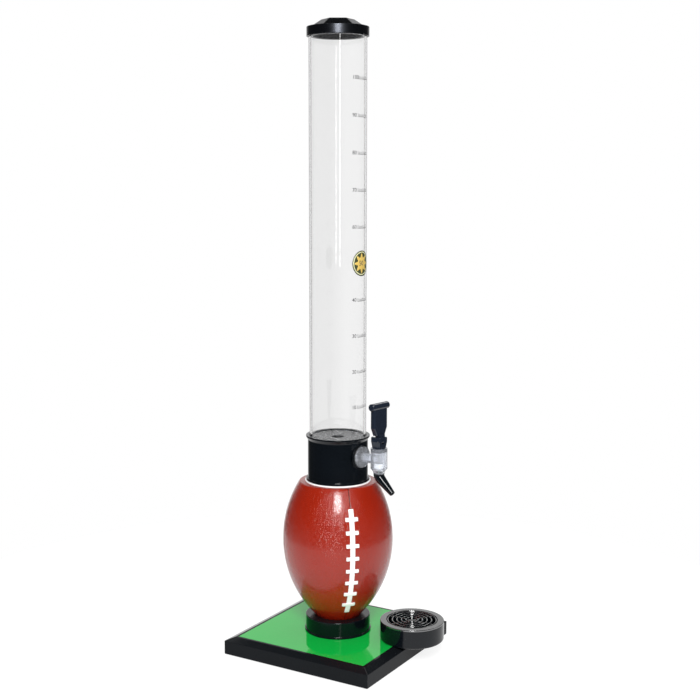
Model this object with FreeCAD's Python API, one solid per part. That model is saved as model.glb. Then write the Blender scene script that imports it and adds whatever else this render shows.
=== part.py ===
import FreeCAD, Part
import math
import os

from FreeCAD import Placement, Rotation, Vector

# A drink tower: a clear tube on a tap collar, on an upright ball, on a square base.
# Millimetres. Z is up, the tower's axis is X = Y = 0, and Z = 0 is the table.
# The base's front side, with the drip tray, faces -Y.

# ---- clearances ------------------------------------------------------------------------
RUNNING_GAP = 0.05        # radial, between a pin or seal and what it turns or slides in
LOOSE_GAP = 0.3           # between a lift-out piece and the pocket it drops into
SCREW_GAP = 0.1           # radial, around a screw's shank
SOCKET_GAP = 0.3          # radial, around the tube in the collar and in the lid
PLUG_GAP = 0.35           # radial, around the plugs inside the tube
PANEL_GAP = 0.15          # around the panel in its recess

# ---- base ------------------------------------------------------------------------------
BASE_SIDE = 260.0         # outside of the square board
BASE_SIDE_HEIGHT = 21.3   # upright edge of the board, above the pad
BASE_BEVEL_WIDTH = 12.5   # sloping border
BASE_BEVEL_RISE = 5.3
BASE_LAND_WIDTH = 3.8     # flat strip between the bevel and the panel
PAD_THICK = 1.5
PAD_INSET = 4.0           # the pad stops short of the board's edge
PANEL_THICK = 3.2

# ---- cup under the ball ----------------------------------------------------------------
CUP_RADIUS = 51.2
CUP_HEIGHT = 25.9         # above the panel
CUP_SEAT_HEIGHT = 15.9    # of the ball's flat bottom, above the panel
CUP_FLANGE_WIDTH = 1.6
CUP_FLANGE_HEIGHT = 3.2
CUP_EDGE = 1.2
CUP_SCREW_COUNT = 4
CUP_SCREW_CIRCLE_R = 17.0
CUP_SCREW_R = 2.4
CUP_SCREW_HEAD_R = 4.8
CUP_SCREW_LENGTH = 32.0
CUP_SCREW_SINK = 0.4      # of the heads, under the ball
CUP_SCREW_DRIVE_R = 1.7
CUP_SCREW_DRIVE_DEPTH = 2.0
CUP_SCREW_ROOM = 2.0      # of the drilled hole, below the tip

# ---- ball ------------------------------------------------------------------------------
BALL_RADIUS = 87.1        # at the waist
BALL_ARC_RADIUS = 176.7   # of the outline, pole to pole
BALL_WAIST_HEIGHT = 134.4 # above the ball's flat bottom
BALL_HEIGHT = 227.5       # between the flat ends
BALL_WALL = 4.0
BALL_PLATE = 6.0          # thickness of the flat ends that the tie rod clamps
SADDLE_THICK = 2.0        # gasket between the ball and the collar
SADDLE_PROUD = 1.8        # past the collar's foot
SADDLE_BORE_R = 22.0

# ---- laces, with heights from the waist ------------------------------------------------
LACE_TURN = -43.5         # degrees about Z from -Y, so negative is towards -X
LACE_STRIP_WIDTH = 7.7
LACE_STRIP_PROUD = 1.6
LACE_STRIP_LOW = -105.9
LACE_STRIP_HIGH = 65.4
LACE_BAR_COUNT = 8
LACE_BAR_LOWEST = -89.7
LACE_BAR_PITCH = 20.04
LACE_BAR_WIDTH = 20.0
LACE_BAR_HEIGHT = 5.7
LACE_BAR_PROUD = 2.6
LACE_SPARE = 5.0          # of the skin that they are cut from, past their ends

# ---- tie rod ---------------------------------------------------------------------------
ROD_R = 4.0
ROD_GAP = 0.4
ROD_ABOVE_NUT = 3.0
ROD_BELOW_NUT = 2.0
ROD_POINT = 0.8
NUT_ACROSS_FLATS = 13.0
NUT_HEIGHT = 6.8
WASHER_R = 12.0
WASHER_THICK = 1.6
SEAL_R = 10.0
SEAL_THICK = 2.0
COUNTERBORE_GAP = 2.0     # around the lower washer
COUNTERBORE_DEPTH = 12.5

# ---- tube ------------------------------------------------------------------------------
TUBE_OUTER_R = 44.45
TUBE_WALL = 3.175
TUBE_LENGTH = 635.0

# ---- tap collar, with heights above the ball's shoulder --------------------------------
COLLAR_HEIGHT = 71.6
COLLAR_SOCKET_HEIGHT = 58.0   # of the ledge that the tube stands on
COLLAR_WALL = 2.65        # around the tube
COLLAR_LEDGE = 1.25       # under the tube's outer edge
COLLAR_FLOOR = 4.0
COLLAR_FOOT_WIDTH = 2.6
COLLAR_FOOT_HEIGHT = 3.5
COLLAR_LIP_WIDTH = 2.8
COLLAR_LIP_HEIGHT = 2.2
COLLAR_FLARE_HEIGHT = 4.5
EDGE_BREAK = 0.6          # small chamfers on moulded edges

# ---- plug in the tube's foot -----------------------------------------------------------
PLUG_HEIGHT = 12.0        # above the ledge
PLUG_SKIN = 3.5
PLUG_RIM = 2.6            # bonded rim under the tube
PLUG_DISH = 1.6           # the tube's floor falls to the drain hole
PLUG_DISH_BORDER = 5.0
DRAIN_R = 8.5
SEAL_WIRE_R = 1.3         # section of the sealing rings
SEAL_GROOVE_GAP = 0.1

# ---- lid -------------------------------------------------------------------------------
LID_WALL = 2.65
LID_SKIRT = 12.3          # how far the skirt reaches down the tube
LID_TOP = 2.0
LID_PLUG_WALL = 3.0
LID_GRIP_TURN = -58.5     # one flat of the six-sided grip faces this way, from -Y
LID_GRIP_BORDER = 5.4     # from the lid's edge to the grip's corners
LID_GRIP_TOP_R = 25.0
LID_GRIP_HEIGHT = 10.9
LID_CROWN_R = 14.0
LID_CROWN_HEIGHT = 0.6
LID_GRIP_WALL = 2.6
VENT_R = 1.6

# ---- tap: reach is outwards from the tower's axis, along the shank ---------------------
TAP_TURN = -9.5           # degrees about Z from -Y
TAP_HEIGHT = 42.5         # of the shank's axis, above the ball's shoulder
TAP_BOSS_R = 20.0
TAP_BOSS_PROUD = 0.3
TAP_PAD_R = 12.4          # flat inside the collar for the nut
TAP_PAD_THICK = 4.7
SHANK_R = 8.0
SHANK_BORE_R = 4.5
SHANK_PAST_NUT = 3.0
FLANGE_R = 16.3
FLANGE_THICK = 3.2
TAP_GASKET_R = 17.5
TAP_GASKET_THICK = 1.2
SHANK_WASHER_R = 12.0
SHANK_WASHER_THICK = 1.5
SHANK_NUT_FLATS = 22.0
SHANK_NUT_THICK = 7.0
NECK_R = 7.4
NECK_LENGTH = 31.2        # from the flange to the valve's axis
BODY_R = 12.9
BODY_ABOVE_SHANK = 19.0
BODY_BELOW_SHANK = 12.5   # to where the body starts to narrow
BODY_TAPER = 6.0
BODY_STUB = 2.1
BODY_STUB_R = 8.6
BODY_BORE_R = 9.5
SEAT_BELOW_SHANK = 13.0
SEAT_HOLE_R = 4.2

# ---- spout -----------------------------------------------------------------------------
SPOUT_NECK = 5.4          # upright part under the tap body
SPOUT_R = 8.4
SPOUT_TIP_R = 4.3
SPOUT_TIP_OUT = 27.0      # of the tip's centre, from the valve's axis
SPOUT_TIP_DOWN = 22.8     # and below the elbow
SPOUT_BORE_R = 2.8
SPOUT_PLUG_R = 5.2
SPOUT_PLUG_HEIGHT = 4.6

# ---- bonnet, with heights above the tap body -------------------------------------------
BONNET_SIDE = 17.4
BONNET_FOOT_SIDE = 14.6
BONNET_SHOULDER = 10.5
BONNET_HEIGHT = 17.5
BONNET_EDGE = 1.4
BONNET_PLUG = 6.0         # threaded part inside the tap body
SLOT_WIDTH = 9.2
SLOT_FLOOR = 7.0

# ---- lever and valve -------------------------------------------------------------------
PIVOT_OUT = 5.0           # the lever's pin stands in front of the valve's axis
PIVOT_HEIGHT = 11.0       # above the tap body
PIN_R = 1.25
HUB_R = 3.0
LEVER_NECK_WIDTH = 8.4
LEVER_NECK_RISE = 5.0     # from the pivot to the neck's underside
FORK_TINE_R = 1.2
FORK_SLOT = 4.0
FORK_ARM_RISE = 0.5       # of the fork's top, above the pivot
WEB_BACK = 2.25           # how far the hub's web reaches behind the pivot
PADDLE_RISE = 9.0         # from the pivot to the paddle's foot
PADDLE_SHOULDER_RISE = 21.0
PADDLE_TOP_RISE = 53.9
PADDLE_THICK = 8.0
PADDLE_FOOT_WIDTH = 18.7
PADDLE_WIDTH = 30.0
PADDLE_ROUND = 1.6
BAR_R = 5.5
BAR_LENGTH = 40.0
STEM_R = 1.5
STEM_GAP = 0.3
STEM_IN_CUP = 4.0
STEM_HEAD_ACROSS = 7.2
STEM_HEAD_ALONG = 4.2
STEM_HEAD_THICK = 1.5
STEM_COLLAR_R = 6.4
STEM_COLLAR_THICK = 1.5
SEAT_CUP_R = 7.4
SEAT_CUP_NOSE_R = 6.0
SEAT_CUP_NOSE_HEIGHT = 2.5
SEAT_CUP_HEIGHT = 8.0
SPRING_R = 4.6
SPRING_WIRE_R = 0.5
SPRING_TURNS = 5

# ---- drip tray -------------------------------------------------------------------------
TRAY_X = 21.5
TRAY_INSIDE_EDGE = 7.0    # its centre lies this far behind the base's front edge
TRAY_R = 50.0
TRAY_CUP_HEIGHT = 28.6
TRAY_WALL = 2.5
GRILLE_THICK = 2.5
GRILLE_RIM = 10.0
GRILLE_LIP = 3.0
GRILLE_LIP_THICK = 2.0
GRILLE_RING_COUNT = 5
GRILLE_RING_FIRST_R = 9.5
GRILLE_RING_PITCH = 7.1
GRILLE_RING_WIRE_R = 1.15
GRILLE_RING_SINK = 0.2
GRILLE_SPOKE_COUNT = 6
GRILLE_SPOKE_WIDTH = 1.8
GRILLE_SPOKE_HEIGHT = 2.4
PEG_R = 3.0
PEG_LENGTH = 6.0
PEG_ROOM = 1.0            # of the hole, below the peg
PEG_SIDEWAYS = 16.0       # pegs stand this far either side of the tray's centre
PEG_BACK = 26.0           # and this far behind it

# ---- worked out from the above ---------------------------------------------------------
PANEL_TOP_Z = PAD_THICK + BASE_SIDE_HEIGHT + BASE_BEVEL_RISE
LAND_SIDE = BASE_SIDE - 2 * BASE_BEVEL_WIDTH
RECESS_SIDE = LAND_SIDE - 2 * BASE_LAND_WIDTH
ROD_HOLE_R = ROD_R + ROD_GAP
CUP_TOP_Z = PANEL_TOP_Z + CUP_HEIGHT
SCREW_HEAD_Z = PANEL_TOP_Z + CUP_SEAT_HEIGHT - CUP_SCREW_SINK
BALL_BOTTOM_Z = PANEL_TOP_Z + CUP_SEAT_HEIGHT
BALL_WAIST_Z = BALL_BOTTOM_Z + BALL_WAIST_HEIGHT
BALL_TOP_Z = BALL_BOTTOM_Z + BALL_HEIGHT
SHOULDER_Z = BALL_TOP_Z + SADDLE_THICK
CHAMBER_FLOOR_Z = SHOULDER_Z + COLLAR_FLOOR
TUBE_BOTTOM_Z = SHOULDER_Z + COLLAR_SOCKET_HEIGHT
TUBE_TOP_Z = TUBE_BOTTOM_Z + TUBE_LENGTH
TUBE_INNER_R = TUBE_OUTER_R - TUBE_WALL
SOCKET_R = TUBE_OUTER_R + SOCKET_GAP
COLLAR_TOP_Z = SHOULDER_Z + COLLAR_HEIGHT
COLLAR_R = SOCKET_R + COLLAR_WALL
COLLAR_BORE_R = TUBE_OUTER_R - COLLAR_LEDGE
PLUG_R = TUBE_INNER_R - PLUG_GAP
PLUG_TOP_Z = TUBE_BOTTOM_Z + PLUG_HEIGHT
SEAL_RING_R = TUBE_INNER_R - RUNNING_GAP - SEAL_WIRE_R
LID_PLUG_BORE_R = PLUG_R - LID_PLUG_WALL
LID_TOP_Z = TUBE_TOP_Z + LID_TOP
TAP_Z = SHOULDER_Z + TAP_HEIGHT
BOSS_FACE = COLLAR_R + TAP_BOSS_PROUD
PAD_FACE = COLLAR_BORE_R - TAP_PAD_THICK
NUT_FACE = PAD_FACE - SHANK_WASHER_THICK
FLANGE_NEAR = BOSS_FACE + TAP_GASKET_THICK
FLANGE_FAR = FLANGE_NEAR + FLANGE_THICK
VALVE_REACH = FLANGE_FAR + NECK_LENGTH
BODY_TOP_Z = TAP_Z + BODY_ABOVE_SHANK
BODY_TAPER_Z = TAP_Z - BODY_BELOW_SHANK
BODY_STUB_Z = BODY_TAPER_Z - BODY_TAPER
BODY_BOTTOM_Z = BODY_STUB_Z - BODY_STUB
SEAT_Z = TAP_Z - SEAT_BELOW_SHANK
SEAT_CUP_TOP_Z = SEAT_Z + SEAT_CUP_HEIGHT
ELBOW_Z = BODY_BOTTOM_Z - SPOUT_NECK
PIVOT_REACH = VALVE_REACH + PIVOT_OUT
PIVOT_Z = BODY_TOP_Z + PIVOT_HEIGHT
TRAY_Y = TRAY_INSIDE_EDGE - BASE_SIDE / 2
TRAY_TOP_Z = PANEL_TOP_Z + TRAY_CUP_HEIGHT
Z_AXIS = Vector(0, 0, 1)
OVERLAP = 2.0             # how far pieces of one solid reach into each other
PAST = 1.0                # how far a cut reaches past what it cuts


# ---- shapes that come up again and again -----------------------------------------------
def cylinder(radius, z_low, z_high, x=0.0, y=0.0):
    return Part.makeCylinder(radius, z_high - z_low, Vector(x, y, z_low))


def ring(outer_r, inner_r, z_low, z_high):
    return cylinder(outer_r, z_low, z_high).cut(cylinder(inner_r, z_low - PAST, z_high + PAST))


def block(x_low, x_high, y_low, y_high, z_low, z_high):
    size = (x_high - x_low, y_high - y_low, z_high - z_low)
    return Part.makeBox(*size, Vector(x_low, y_low, z_low))


def square_block(side, z_low, z_high):
    half = side / 2
    return block(-half, half, -half, half, z_low, z_high)


def outline(*steps):
    """Closed face in the XZ plane. A step is a point (r, z), or a pair of points that an
    arc passes through and ends at."""
    start = Vector(steps[0][0], 0, steps[0][1])
    here = start
    edges = []
    for step in steps[1:] + (steps[0],):
        if isinstance(step[0], tuple):
            middle = Vector(step[0][0], 0, step[0][1])
            there = Vector(step[1][0], 0, step[1][1])
            edges.append(Part.Arc(here, middle, there).toShape())
        else:
            there = Vector(step[0], 0, step[1])
            edges.append(Part.makeLine(here, there))
        here = there
    return Part.Face(Part.Wire(edges))


def turned(*steps):
    """Solid of revolution about Z from an outline in (radius, z)."""
    return outline(*steps).revolve(Vector(0, 0, 0), Z_AXIS, 360)


def along_shank(radius, near, far):
    """Cylinder on the shank's axis, before the tap is turned to its place."""
    return Part.makeCylinder(radius, far - near, Vector(0, -near, TAP_Z), Vector(0, -1, 0))


def hexagon(across_flats, z):
    """Closed wire with one flat facing -Y."""
    radius = across_flats / math.sqrt(3)
    return polygon_wire(radius, z)


def polygon_wire(radius, z):
    corners = [Vector(radius * math.sin(math.radians(30 + 60 * i)),
                      -radius * math.cos(math.radians(30 + 60 * i)), z) for i in range(6)]
    return Part.makePolygon(corners + corners[:1])


def square_wire(side, z, y_middle):
    half = side / 2
    corners = [Vector(x, y_middle + y, z)
               for x, y in ((-half, -half), (half, -half), (half, half), (-half, half))]
    return Part.makePolygon(corners + corners[:1])


def hex_nut(across_flats, bore_r, z_low, height):
    body = Part.Face(hexagon(across_flats, z_low)).extrude(Vector(0, 0, height))
    flats_r = across_flats / 2
    crest = across_flats / math.sqrt(3)
    slope = crest - flats_r
    lathe = turned((0, z_low), (flats_r, z_low), (crest, z_low + slope),
                   (crest, z_low + height - slope), (flats_r, z_low + height),
                   (0, z_low + height))
    return body.common(lathe).cut(cylinder(bore_r, z_low - PAST, z_low + height + PAST))


def seal_ring(radius, wire_r, z):
    return Part.makeTorus(radius, wire_r, Vector(0, 0, z), Z_AXIS)


def turn(shape, degrees):
    copy = shape.copy()
    copy.Placement = Placement(Vector(0, 0, 0), Rotation(Z_AXIS, degrees)).multiply(
        shape.Placement)
    return copy


def as_tap(shape):
    return turn(shape, TAP_TURN)


def at_tray(shape):
    copy = shape.copy()
    copy.translate(Vector(TRAY_X, TRAY_Y, 0))
    return copy


def peg_places():
    return [(side * PEG_SIDEWAYS, PEG_BACK) for side in (-1, 1)]


def cup_screw_places():
    step = 360 / CUP_SCREW_COUNT
    angles = [math.radians(step * (i + 0.5)) for i in range(CUP_SCREW_COUNT)]
    return [(CUP_SCREW_CIRCLE_R * math.cos(a), CUP_SCREW_CIRCLE_R * math.sin(a))
            for a in angles]


def ball_radius(z, inset=0.0):
    """Radius of the ball's outline at a height. The outline is one arc about a centre
    beyond the axis, and inset moves it inwards."""
    arc = BALL_ARC_RADIUS - inset
    return math.sqrt(arc ** 2 - (z - BALL_WAIST_Z) ** 2) - (BALL_ARC_RADIUS - BALL_RADIUS)


def ball_body(z_low, z_high, inset=0.0):
    """The solid ball between two heights."""
    low_r = ball_radius(z_low, inset)
    high_r = ball_radius(z_high, inset)
    middle_z = (z_low + z_high) / 2
    middle = (ball_radius(middle_z, inset), middle_z)
    return turned((0, z_low), (low_r, z_low), (middle, (high_r, z_high)), (0, z_high))


# ---- base ------------------------------------------------------------------------------
def non_slip_pad():
    return square_block(BASE_SIDE - 2 * PAD_INSET, 0, PAD_THICK)


def base_board():
    edge_z = PAD_THICK + BASE_SIDE_HEIGHT
    lower = square_block(BASE_SIDE, PAD_THICK, edge_z)
    bevel = Part.makeLoft([square_wire(BASE_SIDE, edge_z, 0),
                           square_wire(LAND_SIDE, PANEL_TOP_Z, 0)], True, True)
    board = lower.fuse(bevel).removeSplitter()
    board = board.cut(square_block(RECESS_SIDE, PANEL_TOP_Z - PANEL_THICK, PANEL_TOP_Z + PAST))
    board = board.cut(cylinder(ROD_HOLE_R, 0, PANEL_TOP_Z))
    counterbore_r = WASHER_R + COUNTERBORE_GAP
    board = board.cut(cylinder(counterbore_r, 0, PAD_THICK + COUNTERBORE_DEPTH))
    for x, y in cup_screw_places():
        tip_z = SCREW_HEAD_Z - CUP_SCREW_LENGTH
        board = board.cut(cylinder(CUP_SCREW_R + SCREW_GAP, tip_z - CUP_SCREW_ROOM, PANEL_TOP_Z, x, y))
    return board.cut(peg_holes())


def peg_holes():
    holes = []
    for x, y in peg_places():
        hole = cylinder(PEG_R + LOOSE_GAP, PANEL_TOP_Z - PEG_LENGTH - PEG_ROOM, PANEL_TOP_Z + PAST, x, y)
        holes.append(at_tray(hole))
    return holes[0].fuse(holes[1:])


def turf_panel():
    panel = square_block(RECESS_SIDE - 2 * PANEL_GAP, PANEL_TOP_Z - PANEL_THICK, PANEL_TOP_Z)
    panel = panel.cut(cylinder(ROD_HOLE_R, 0, PANEL_TOP_Z + PAST))
    for x, y in cup_screw_places():
        panel = panel.cut(cylinder(CUP_SCREW_R + SCREW_GAP, 0, PANEL_TOP_Z + PAST, x, y))
    return panel.cut(peg_holes())


# ---- ball and its cup ------------------------------------------------------------------
def cup_screw(x, y, gap=0.0, rise=0.0):
    """One countersunk screw. With a gap and a rise it is the hole that the screw goes in."""
    head_r = CUP_SCREW_HEAD_R + gap
    shank_r = CUP_SCREW_R + gap
    low = SCREW_HEAD_Z - CUP_SCREW_LENGTH
    cone_z = SCREW_HEAD_Z - (head_r - shank_r)
    shank = cylinder(shank_r, low, cone_z, x, y)
    cone = Part.makeCone(shank_r, head_r, SCREW_HEAD_Z - cone_z, Vector(x, y, cone_z))
    screw = shank.fuse(cone)
    if rise:
        screw = screw.fuse(cylinder(head_r, SCREW_HEAD_Z, SCREW_HEAD_Z + rise, x, y))
    return screw.removeSplitter()


def cup_screws():
    screws = []
    for x, y in cup_screw_places():
        drive_z = SCREW_HEAD_Z - CUP_SCREW_DRIVE_DEPTH
        drive = cylinder(CUP_SCREW_DRIVE_R, drive_z, SCREW_HEAD_Z + PAST, x, y)
        screws.append(cup_screw(x, y).cut(drive))
    return Part.makeCompound(screws)


def ball_cup():
    flange_r = CUP_RADIUS + CUP_FLANGE_WIDTH
    flange_z = PANEL_TOP_Z + CUP_FLANGE_HEIGHT
    cup = turned((ROD_HOLE_R, PANEL_TOP_Z), (flange_r, PANEL_TOP_Z),
                 (flange_r, flange_z - EDGE_BREAK), (flange_r - EDGE_BREAK, flange_z),
                 (CUP_RADIUS, flange_z), (CUP_RADIUS, CUP_TOP_Z - CUP_EDGE),
                 (CUP_RADIUS - CUP_EDGE, CUP_TOP_Z), (ROD_HOLE_R, CUP_TOP_Z))
    seat = ball_body(BALL_BOTTOM_Z, CUP_TOP_Z + OVERLAP, -LOOSE_GAP)
    cup = cup.cut(seat)
    for x, y in cup_screw_places():
        cup = cup.cut(cup_screw(x, y, SCREW_GAP, 1))
    return cup


def ball_shell():
    low, high = BALL_BOTTOM_Z, BALL_TOP_Z
    inner_low, inner_high = low + BALL_PLATE, high - BALL_PLATE
    middle = (low + high) / 2
    return turned((ROD_HOLE_R, low), (ball_radius(low), low),
                  ((ball_radius(middle), middle), (ball_radius(high), high)),
                  (ROD_HOLE_R, high), (ROD_HOLE_R, inner_high),
                  (ball_radius(inner_high, BALL_WALL), inner_high),
                  ((ball_radius(middle, BALL_WALL), middle),
                   (ball_radius(inner_low, BALL_WALL), inner_low)),
                  (ROD_HOLE_R, inner_low))


def laces():
    """Strip down the ball with cross bars, standing proud of the skin."""
    strip_low = BALL_WAIST_Z + LACE_STRIP_LOW
    strip_high = BALL_WAIST_Z + LACE_STRIP_HIGH
    low, high = strip_low - LACE_SPARE, strip_high + LACE_SPARE
    skin = ball_body(low - LACE_SPARE, high + LACE_SPARE)
    front = -BALL_RADIUS - 2 * LACE_SPARE
    half = LACE_STRIP_WIDTH / 2
    strip = ball_body(low, high, -LACE_STRIP_PROUD).cut(skin)
    window = block(-half, half, front, 0, strip_low, strip_high)
    whole = strip.common(window)
    proud = ball_body(low, high, -LACE_BAR_PROUD).cut(skin)
    bars = []
    for i in range(LACE_BAR_COUNT):
        z = BALL_WAIST_Z + LACE_BAR_LOWEST + i * LACE_BAR_PITCH
        reach = (LACE_BAR_WIDTH - LACE_BAR_HEIGHT) / 2
        end_r = LACE_BAR_HEIGHT / 2
        window = block(-reach, reach, front, 0, z - end_r, z + end_r)
        ends = [Part.makeCylinder(end_r, -front, Vector(side * reach, front, z),
                                  Vector(0, 1, 0)) for side in (-1, 1)]
        bars.append(proud.common(window.fuse(ends)))
    return turn(whole.fuse(bars), LACE_TURN)


def saddle_gasket():
    """Pale ring that shows as a thin line around the collar's foot."""
    return ring(COLLAR_R + COLLAR_FOOT_WIDTH + SADDLE_PROUD, SADDLE_BORE_R, BALL_TOP_Z,
                SHOULDER_Z)


# ---- tie rod ---------------------------------------------------------------------------
def rod_nut_z():
    """Undersides of the lower and upper nuts."""
    lower = PAD_THICK + COUNTERBORE_DEPTH - WASHER_THICK - NUT_HEIGHT
    upper = CHAMBER_FLOOR_Z + SEAL_THICK + WASHER_THICK
    return lower, upper


def tie_rod():
    low = rod_nut_z()[0] - ROD_BELOW_NUT
    top = rod_nut_z()[1] + NUT_HEIGHT + ROD_ABOVE_NUT
    return turned((0, low), (ROD_R - ROD_POINT, low), (ROD_R, low + ROD_POINT),
                  (ROD_R, top - ROD_POINT), (ROD_R - ROD_POINT, top), (0, top))


def tie_nuts():
    return Part.makeCompound([hex_nut(NUT_ACROSS_FLATS, ROD_R, z, NUT_HEIGHT)
                              for z in rod_nut_z()])


def tie_washers():
    lower = rod_nut_z()[0] + NUT_HEIGHT
    upper = rod_nut_z()[1] - WASHER_THICK
    return Part.makeCompound([ring(WASHER_R, ROD_HOLE_R, z, z + WASHER_THICK)
                              for z in (lower, upper)])


def tie_seal():
    return ring(SEAL_R, ROD_R, CHAMBER_FLOOR_Z, CHAMBER_FLOOR_Z + SEAL_THICK)


# ---- tap collar and the plug in the tube's foot ----------------------------------------
def tap_collar():
    foot_r = COLLAR_R + COLLAR_FOOT_WIDTH
    foot_z = SHOULDER_Z + COLLAR_FOOT_HEIGHT
    lip_r = COLLAR_R + COLLAR_LIP_WIDTH
    lip_z = COLLAR_TOP_Z - COLLAR_LIP_HEIGHT
    edge = EDGE_BREAK
    collar = turned((ROD_HOLE_R, SHOULDER_Z), (foot_r, SHOULDER_Z), (foot_r, foot_z - edge),
                    (foot_r - edge, foot_z), (COLLAR_R, foot_z),
                    (COLLAR_R, lip_z - COLLAR_FLARE_HEIGHT), (lip_r, lip_z),
                    (lip_r, COLLAR_TOP_Z - edge), (lip_r - edge, COLLAR_TOP_Z),
                    (SOCKET_R + edge, COLLAR_TOP_Z), (SOCKET_R, COLLAR_TOP_Z - edge),
                    (SOCKET_R, TUBE_BOTTOM_Z), (COLLAR_BORE_R, TUBE_BOTTOM_Z),
                    (COLLAR_BORE_R, CHAMBER_FLOOR_Z), (ROD_HOLE_R, CHAMBER_FLOOR_Z))
    boss = as_tap(along_shank(TAP_BOSS_R, COLLAR_BORE_R / 2, BOSS_FACE))
    boss = boss.cut(cylinder(COLLAR_BORE_R, SHOULDER_Z, TUBE_BOTTOM_Z))
    boss = boss.cut(cylinder(SOCKET_R, TUBE_BOTTOM_Z, COLLAR_TOP_Z))
    pad = as_tap(along_shank(TAP_PAD_R, PAD_FACE, COLLAR_BORE_R + PAST))
    hole = as_tap(along_shank(SHANK_R + SCREW_GAP, 0, BOSS_FACE + PAST))
    return collar.fuse([boss, pad]).cut(hole).removeSplitter()


def tube_plug():
    """Upturned cup bonded in the collar. Its top is the tube's floor, and the tube
    slips over it down to the rim."""
    rim_low = TUBE_BOTTOM_Z - PLUG_RIM
    under_z = PLUG_TOP_Z - PLUG_DISH - PLUG_SKIN
    inside_r = PLUG_R - PLUG_SKIN
    groove_z = (TUBE_BOTTOM_Z + PLUG_TOP_Z) / 2
    groove_r = SEAL_RING_R - SEAL_WIRE_R
    half = SEAL_WIRE_R + SEAL_GROOVE_GAP
    dish_r = PLUG_R - PLUG_DISH_BORDER
    return turned((DRAIN_R, under_z), (inside_r, under_z), (inside_r, rim_low),
                  (COLLAR_BORE_R, rim_low), (COLLAR_BORE_R, TUBE_BOTTOM_Z),
                  (PLUG_R, TUBE_BOTTOM_Z), (PLUG_R, groove_z - half),
                  (groove_r, groove_z - half), (groove_r, groove_z + half),
                  (PLUG_R, groove_z + half), (PLUG_R, PLUG_TOP_Z - EDGE_BREAK),
                  (PLUG_R - EDGE_BREAK, PLUG_TOP_Z), (dish_r, PLUG_TOP_Z),
                  (DRAIN_R, PLUG_TOP_Z - PLUG_DISH))


def tube_o_ring():
    return seal_ring(SEAL_RING_R, SEAL_WIRE_R, (TUBE_BOTTOM_Z + PLUG_TOP_Z) / 2)


# ---- tube and lid ----------------------------------------------------------------------
def beverage_tube():
    return ring(TUBE_OUTER_R, TUBE_INNER_R, TUBE_BOTTOM_Z, TUBE_TOP_Z)


def lid_grip(shrink, z_low):
    """Six-sided grip with a low crown. A positive shrink gives its hollow."""
    shoulder_z = LID_TOP_Z + LID_GRIP_HEIGHT - shrink
    base_r = SOCKET_R + LID_WALL - LID_GRIP_BORDER
    lower = Part.makeLoft([polygon_wire(base_r - shrink, z_low),
                           polygon_wire(LID_GRIP_TOP_R - shrink, shoulder_z)], True, True)
    crown = Part.makeLoft([polygon_wire(LID_GRIP_TOP_R - shrink, shoulder_z),
                           polygon_wire(LID_CROWN_R - shrink, shoulder_z + LID_CROWN_HEIGHT)],
                          True, True)
    return turn(lower.fuse(crown).removeSplitter(), LID_GRIP_TURN)


def lid_cap():
    lid_r = SOCKET_R + LID_WALL
    skirt_z = TUBE_TOP_Z - LID_SKIRT
    edge = EDGE_BREAK
    cap = turned((0, TUBE_TOP_Z), (SOCKET_R, TUBE_TOP_Z), (SOCKET_R, skirt_z),
                 (lid_r - edge, skirt_z), (lid_r, skirt_z + edge), (lid_r, LID_TOP_Z - edge),
                 (lid_r - edge, LID_TOP_Z), (0, LID_TOP_Z))
    cap = cap.fuse(lid_grip(0, LID_TOP_Z)).removeSplitter()
    crown_z = LID_TOP_Z + LID_GRIP_HEIGHT + LID_CROWN_HEIGHT
    bore = cylinder(LID_PLUG_BORE_R, TUBE_TOP_Z - PAST, crown_z)
    cap = cap.cut(lid_grip(LID_GRIP_WALL, TUBE_TOP_Z - PAST).common(bore))
    return cap.cut(cylinder(VENT_R, TUBE_TOP_Z, crown_z + PAST))


def lid_plug():
    """Ring under the lid that goes inside the tube's mouth."""
    low = TUBE_TOP_Z - LID_SKIRT
    groove_z = (low + TUBE_TOP_Z) / 2
    groove_r = SEAL_RING_R - SEAL_WIRE_R
    half = SEAL_WIRE_R + SEAL_GROOVE_GAP
    return turned((LID_PLUG_BORE_R, low), (PLUG_R - EDGE_BREAK, low),
                  (PLUG_R, low + EDGE_BREAK), (PLUG_R, groove_z - half),
                  (groove_r, groove_z - half), (groove_r, groove_z + half),
                  (PLUG_R, groove_z + half), (PLUG_R, TUBE_TOP_Z),
                  (LID_PLUG_BORE_R, TUBE_TOP_Z))


def lid_o_ring():
    return seal_ring(SEAL_RING_R, SEAL_WIRE_R, TUBE_TOP_Z - LID_SKIRT / 2)


# ---- tap -------------------------------------------------------------------------------
def tap_gasket():
    disc = along_shank(TAP_GASKET_R, BOSS_FACE, FLANGE_NEAR)
    return as_tap(disc.cut(along_shank(SHANK_R, 0, FLANGE_FAR)))


def at_valve(shape):
    """Moves a shape made about Z to the valve's axis."""
    copy = shape.copy()
    copy.translate(Vector(0, -VALVE_REACH, 0))
    return copy


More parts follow.
